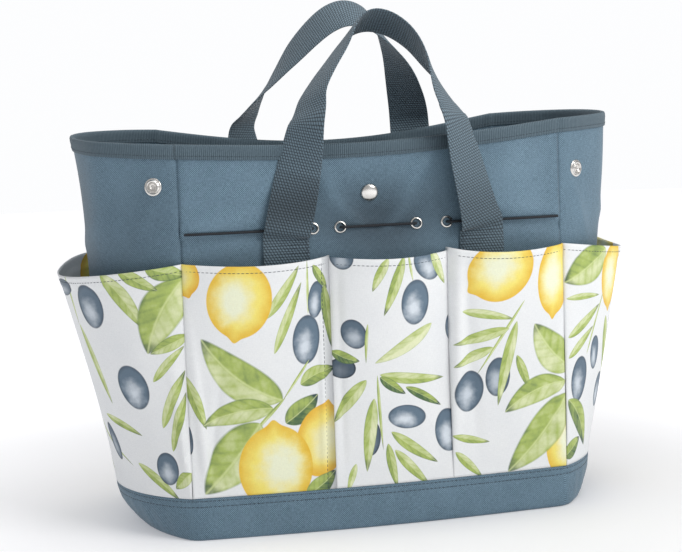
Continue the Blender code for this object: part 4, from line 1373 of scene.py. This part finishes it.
CAP_CUT = ((0.0, 0.0031), (0.0025, 0.0030), (0.0048, 0.0026), (0.0064, 0.0018), (0.0073, 0.0009),
           (0.0074, 0.0003), (0.0070, -0.0001), (0.0, -0.0001))
SOCKET_CUT = ((0.0, 0.0004), (0.0014, 0.0004), (0.0018, 0.0011), (0.0026, 0.0014), (0.0032, 0.0008),
              (0.0036, 0.0008), (0.0042, 0.0019), (0.0050, 0.0021), (0.0056, 0.0015), (0.0060, 0.0009),
              (0.0068, 0.0009), (0.0073, 0.0005), (0.0074, 0.0001), (0.0072, -0.0002), (0.0, -0.0002))
STUD_CUT = ((0.0, 0.0042), (0.0013, 0.0041), (0.0020, 0.0036), (0.0021, 0.0030), (0.0017, 0.0022),
            (0.0018, 0.0013), (0.0030, 0.0011), (0.0042, 0.0014), (0.0052, 0.0010), (0.0062, 0.0008),
            (0.0072, 0.0004), (0.0073, 0.0001), (0.0070, -0.0002), (0.0, -0.0002))


def facing_in(seat):
    """The same place on the wall's inner face, looking into the bag."""
    return seat @ Matrix.Translation((0, 0, -CLOTH)) @ Matrix.Rotation(math.pi, 4, "X")


CENTRE_SNAP = (-0.0050, 0.2815)
for side, face, inner, cut in ((1, "front", "socket", SOCKET_CUT), (-1, "rear", "stud", STUD_CUT)):
    def face_surface(across, out, height, side=side):
        return on_face(across, out + face_relief(across, height), height, side)
    seat = seat_at(face_surface, side * CENTRE_SNAP[0], CENTRE_SNAP[1])
    turned(f"centre_{face}_snap_cap", CAP_CUT, seat, nickel, f"centre_snap_{face}_cap")
    turned(f"centre_{face}_snap_{inner}", cut, facing_in(seat), nickel, f"centre_snap_{face}_{inner}")

END_SNAP_HEIGHT = 0.2935
END_SNAP_FROM_SEAM = 0.0200
for end, name in ((1, "right"), (-1, "left")):
    def end_surface(across, out, height, end=end):
        return on_end(across, out + end_relief(across, height, end), height, end)
    for half, where, outer, cut in ((-1, "front", "socket", SOCKET_CUT), (1, "rear", "stud", STUD_CUT)):
        across = end * half * (end_half(END_SNAP_HEIGHT, end) - END_SNAP_FROM_SEAM)
        seat = seat_at(end_surface, across, END_SNAP_HEIGHT)
        turned(f"{name}_{where}_snap_{outer}", cut, seat, nickel, f"{name}_snap_{where}_{outer}")
        turned(f"{name}_{where}_snap_cap", CAP_CUT, facing_in(seat), nickel, f"{name}_snap_{where}_cap")


# ---- draw cords --------------------------------------------------------------------------------
# A thin black elastic cord crosses each long wall from seam to seam, in and out
# of the four eyelets, and gathers the cloth a little when it is drawn.
elastic, tree, shader = new_material("black_elastic", 0.75, specular=0.3)
flat = cloth_place(tree)
split = put(tree, "ShaderNodeSeparateXYZ", {0: flat})
spiral = calc(tree, "ADD", times(tree, split.outputs["Y"], 5200.0),
              times(tree, split.outputs["X"], 900.0))
braid = scaled(tree, calc(tree, "SINE", spiral), 0.5, 0.5)
tree.links.new(mixed(tree, braid, (0.006, 0.007, 0.009, 1.0), (0.035, 0.040, 0.048, 1.0)),
               shader.inputs["Base Color"])
emboss(tree, shader, braid, 0.6, 0.0002)

CORD_RADIUS = 0.0011
THROUGH_EYELET = ((-0.0036, 0.0031), (-0.0011, 0.0019), (0.0, -0.0008), (0.0011, -0.0035), (0.0036, -0.0047))


def through_eyelet(x, inward):
    """The cord's points through the eyelet at x, going in or coming out."""
    if inward:
        return [(x + along, out) for along, out in THROUGH_EYELET]
    return [(x - along, out) for along, out in reversed(THROUGH_EYELET)]


for side, face in ((1, "front"), (-1, "rear")):
    lie_out = CORD_RADIUS + 0.0006
    cord_end = HALF_WIDTH - 0.003
    first, second, third, fourth = EYELETS
    route = [(-cord_end, lie_out), (-0.130, lie_out), (-0.100, lie_out), (first - 0.014, lie_out)]
    route += through_eyelet(first, True) + through_eyelet(second, False)
    route += [(second + 0.014, lie_out), ((second + third) / 2, lie_out), (third - 0.014, lie_out)]
    route += through_eyelet(third, True) + through_eyelet(fourth, False)
    route += [(fourth + 0.014, lie_out), (0.100, lie_out), (0.130, lie_out), (cord_end, lie_out)]
    spots = [on_face(side * x, out + face_relief(side * x, CORD_HEIGHT), CORD_HEIGHT, side)
             for x, out in route]
    path = through_points(spots, 0.0022)
    cuts = []
    for index, centre in enumerate(path):
        tangent = (path[min(index + 1, len(path) - 1)] - path[max(index - 1, 0)]).normalized()
        level = tangent.cross(Vector((0, 0, 1))).normalized()
        upright = level.cross(tangent).normalized()
        turns = [2 * math.pi * step / 12 for step in range(12)]
        cuts.append([centre + (level * math.cos(turn) + upright * math.sin(turn)) * CORD_RADIUS
                     for turn in turns])
    cord = section_loft(f"{face}_elastic_cord", cuts, elastic, False)
    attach(cord, "bag")
    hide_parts(f"{face}_draw_cord")
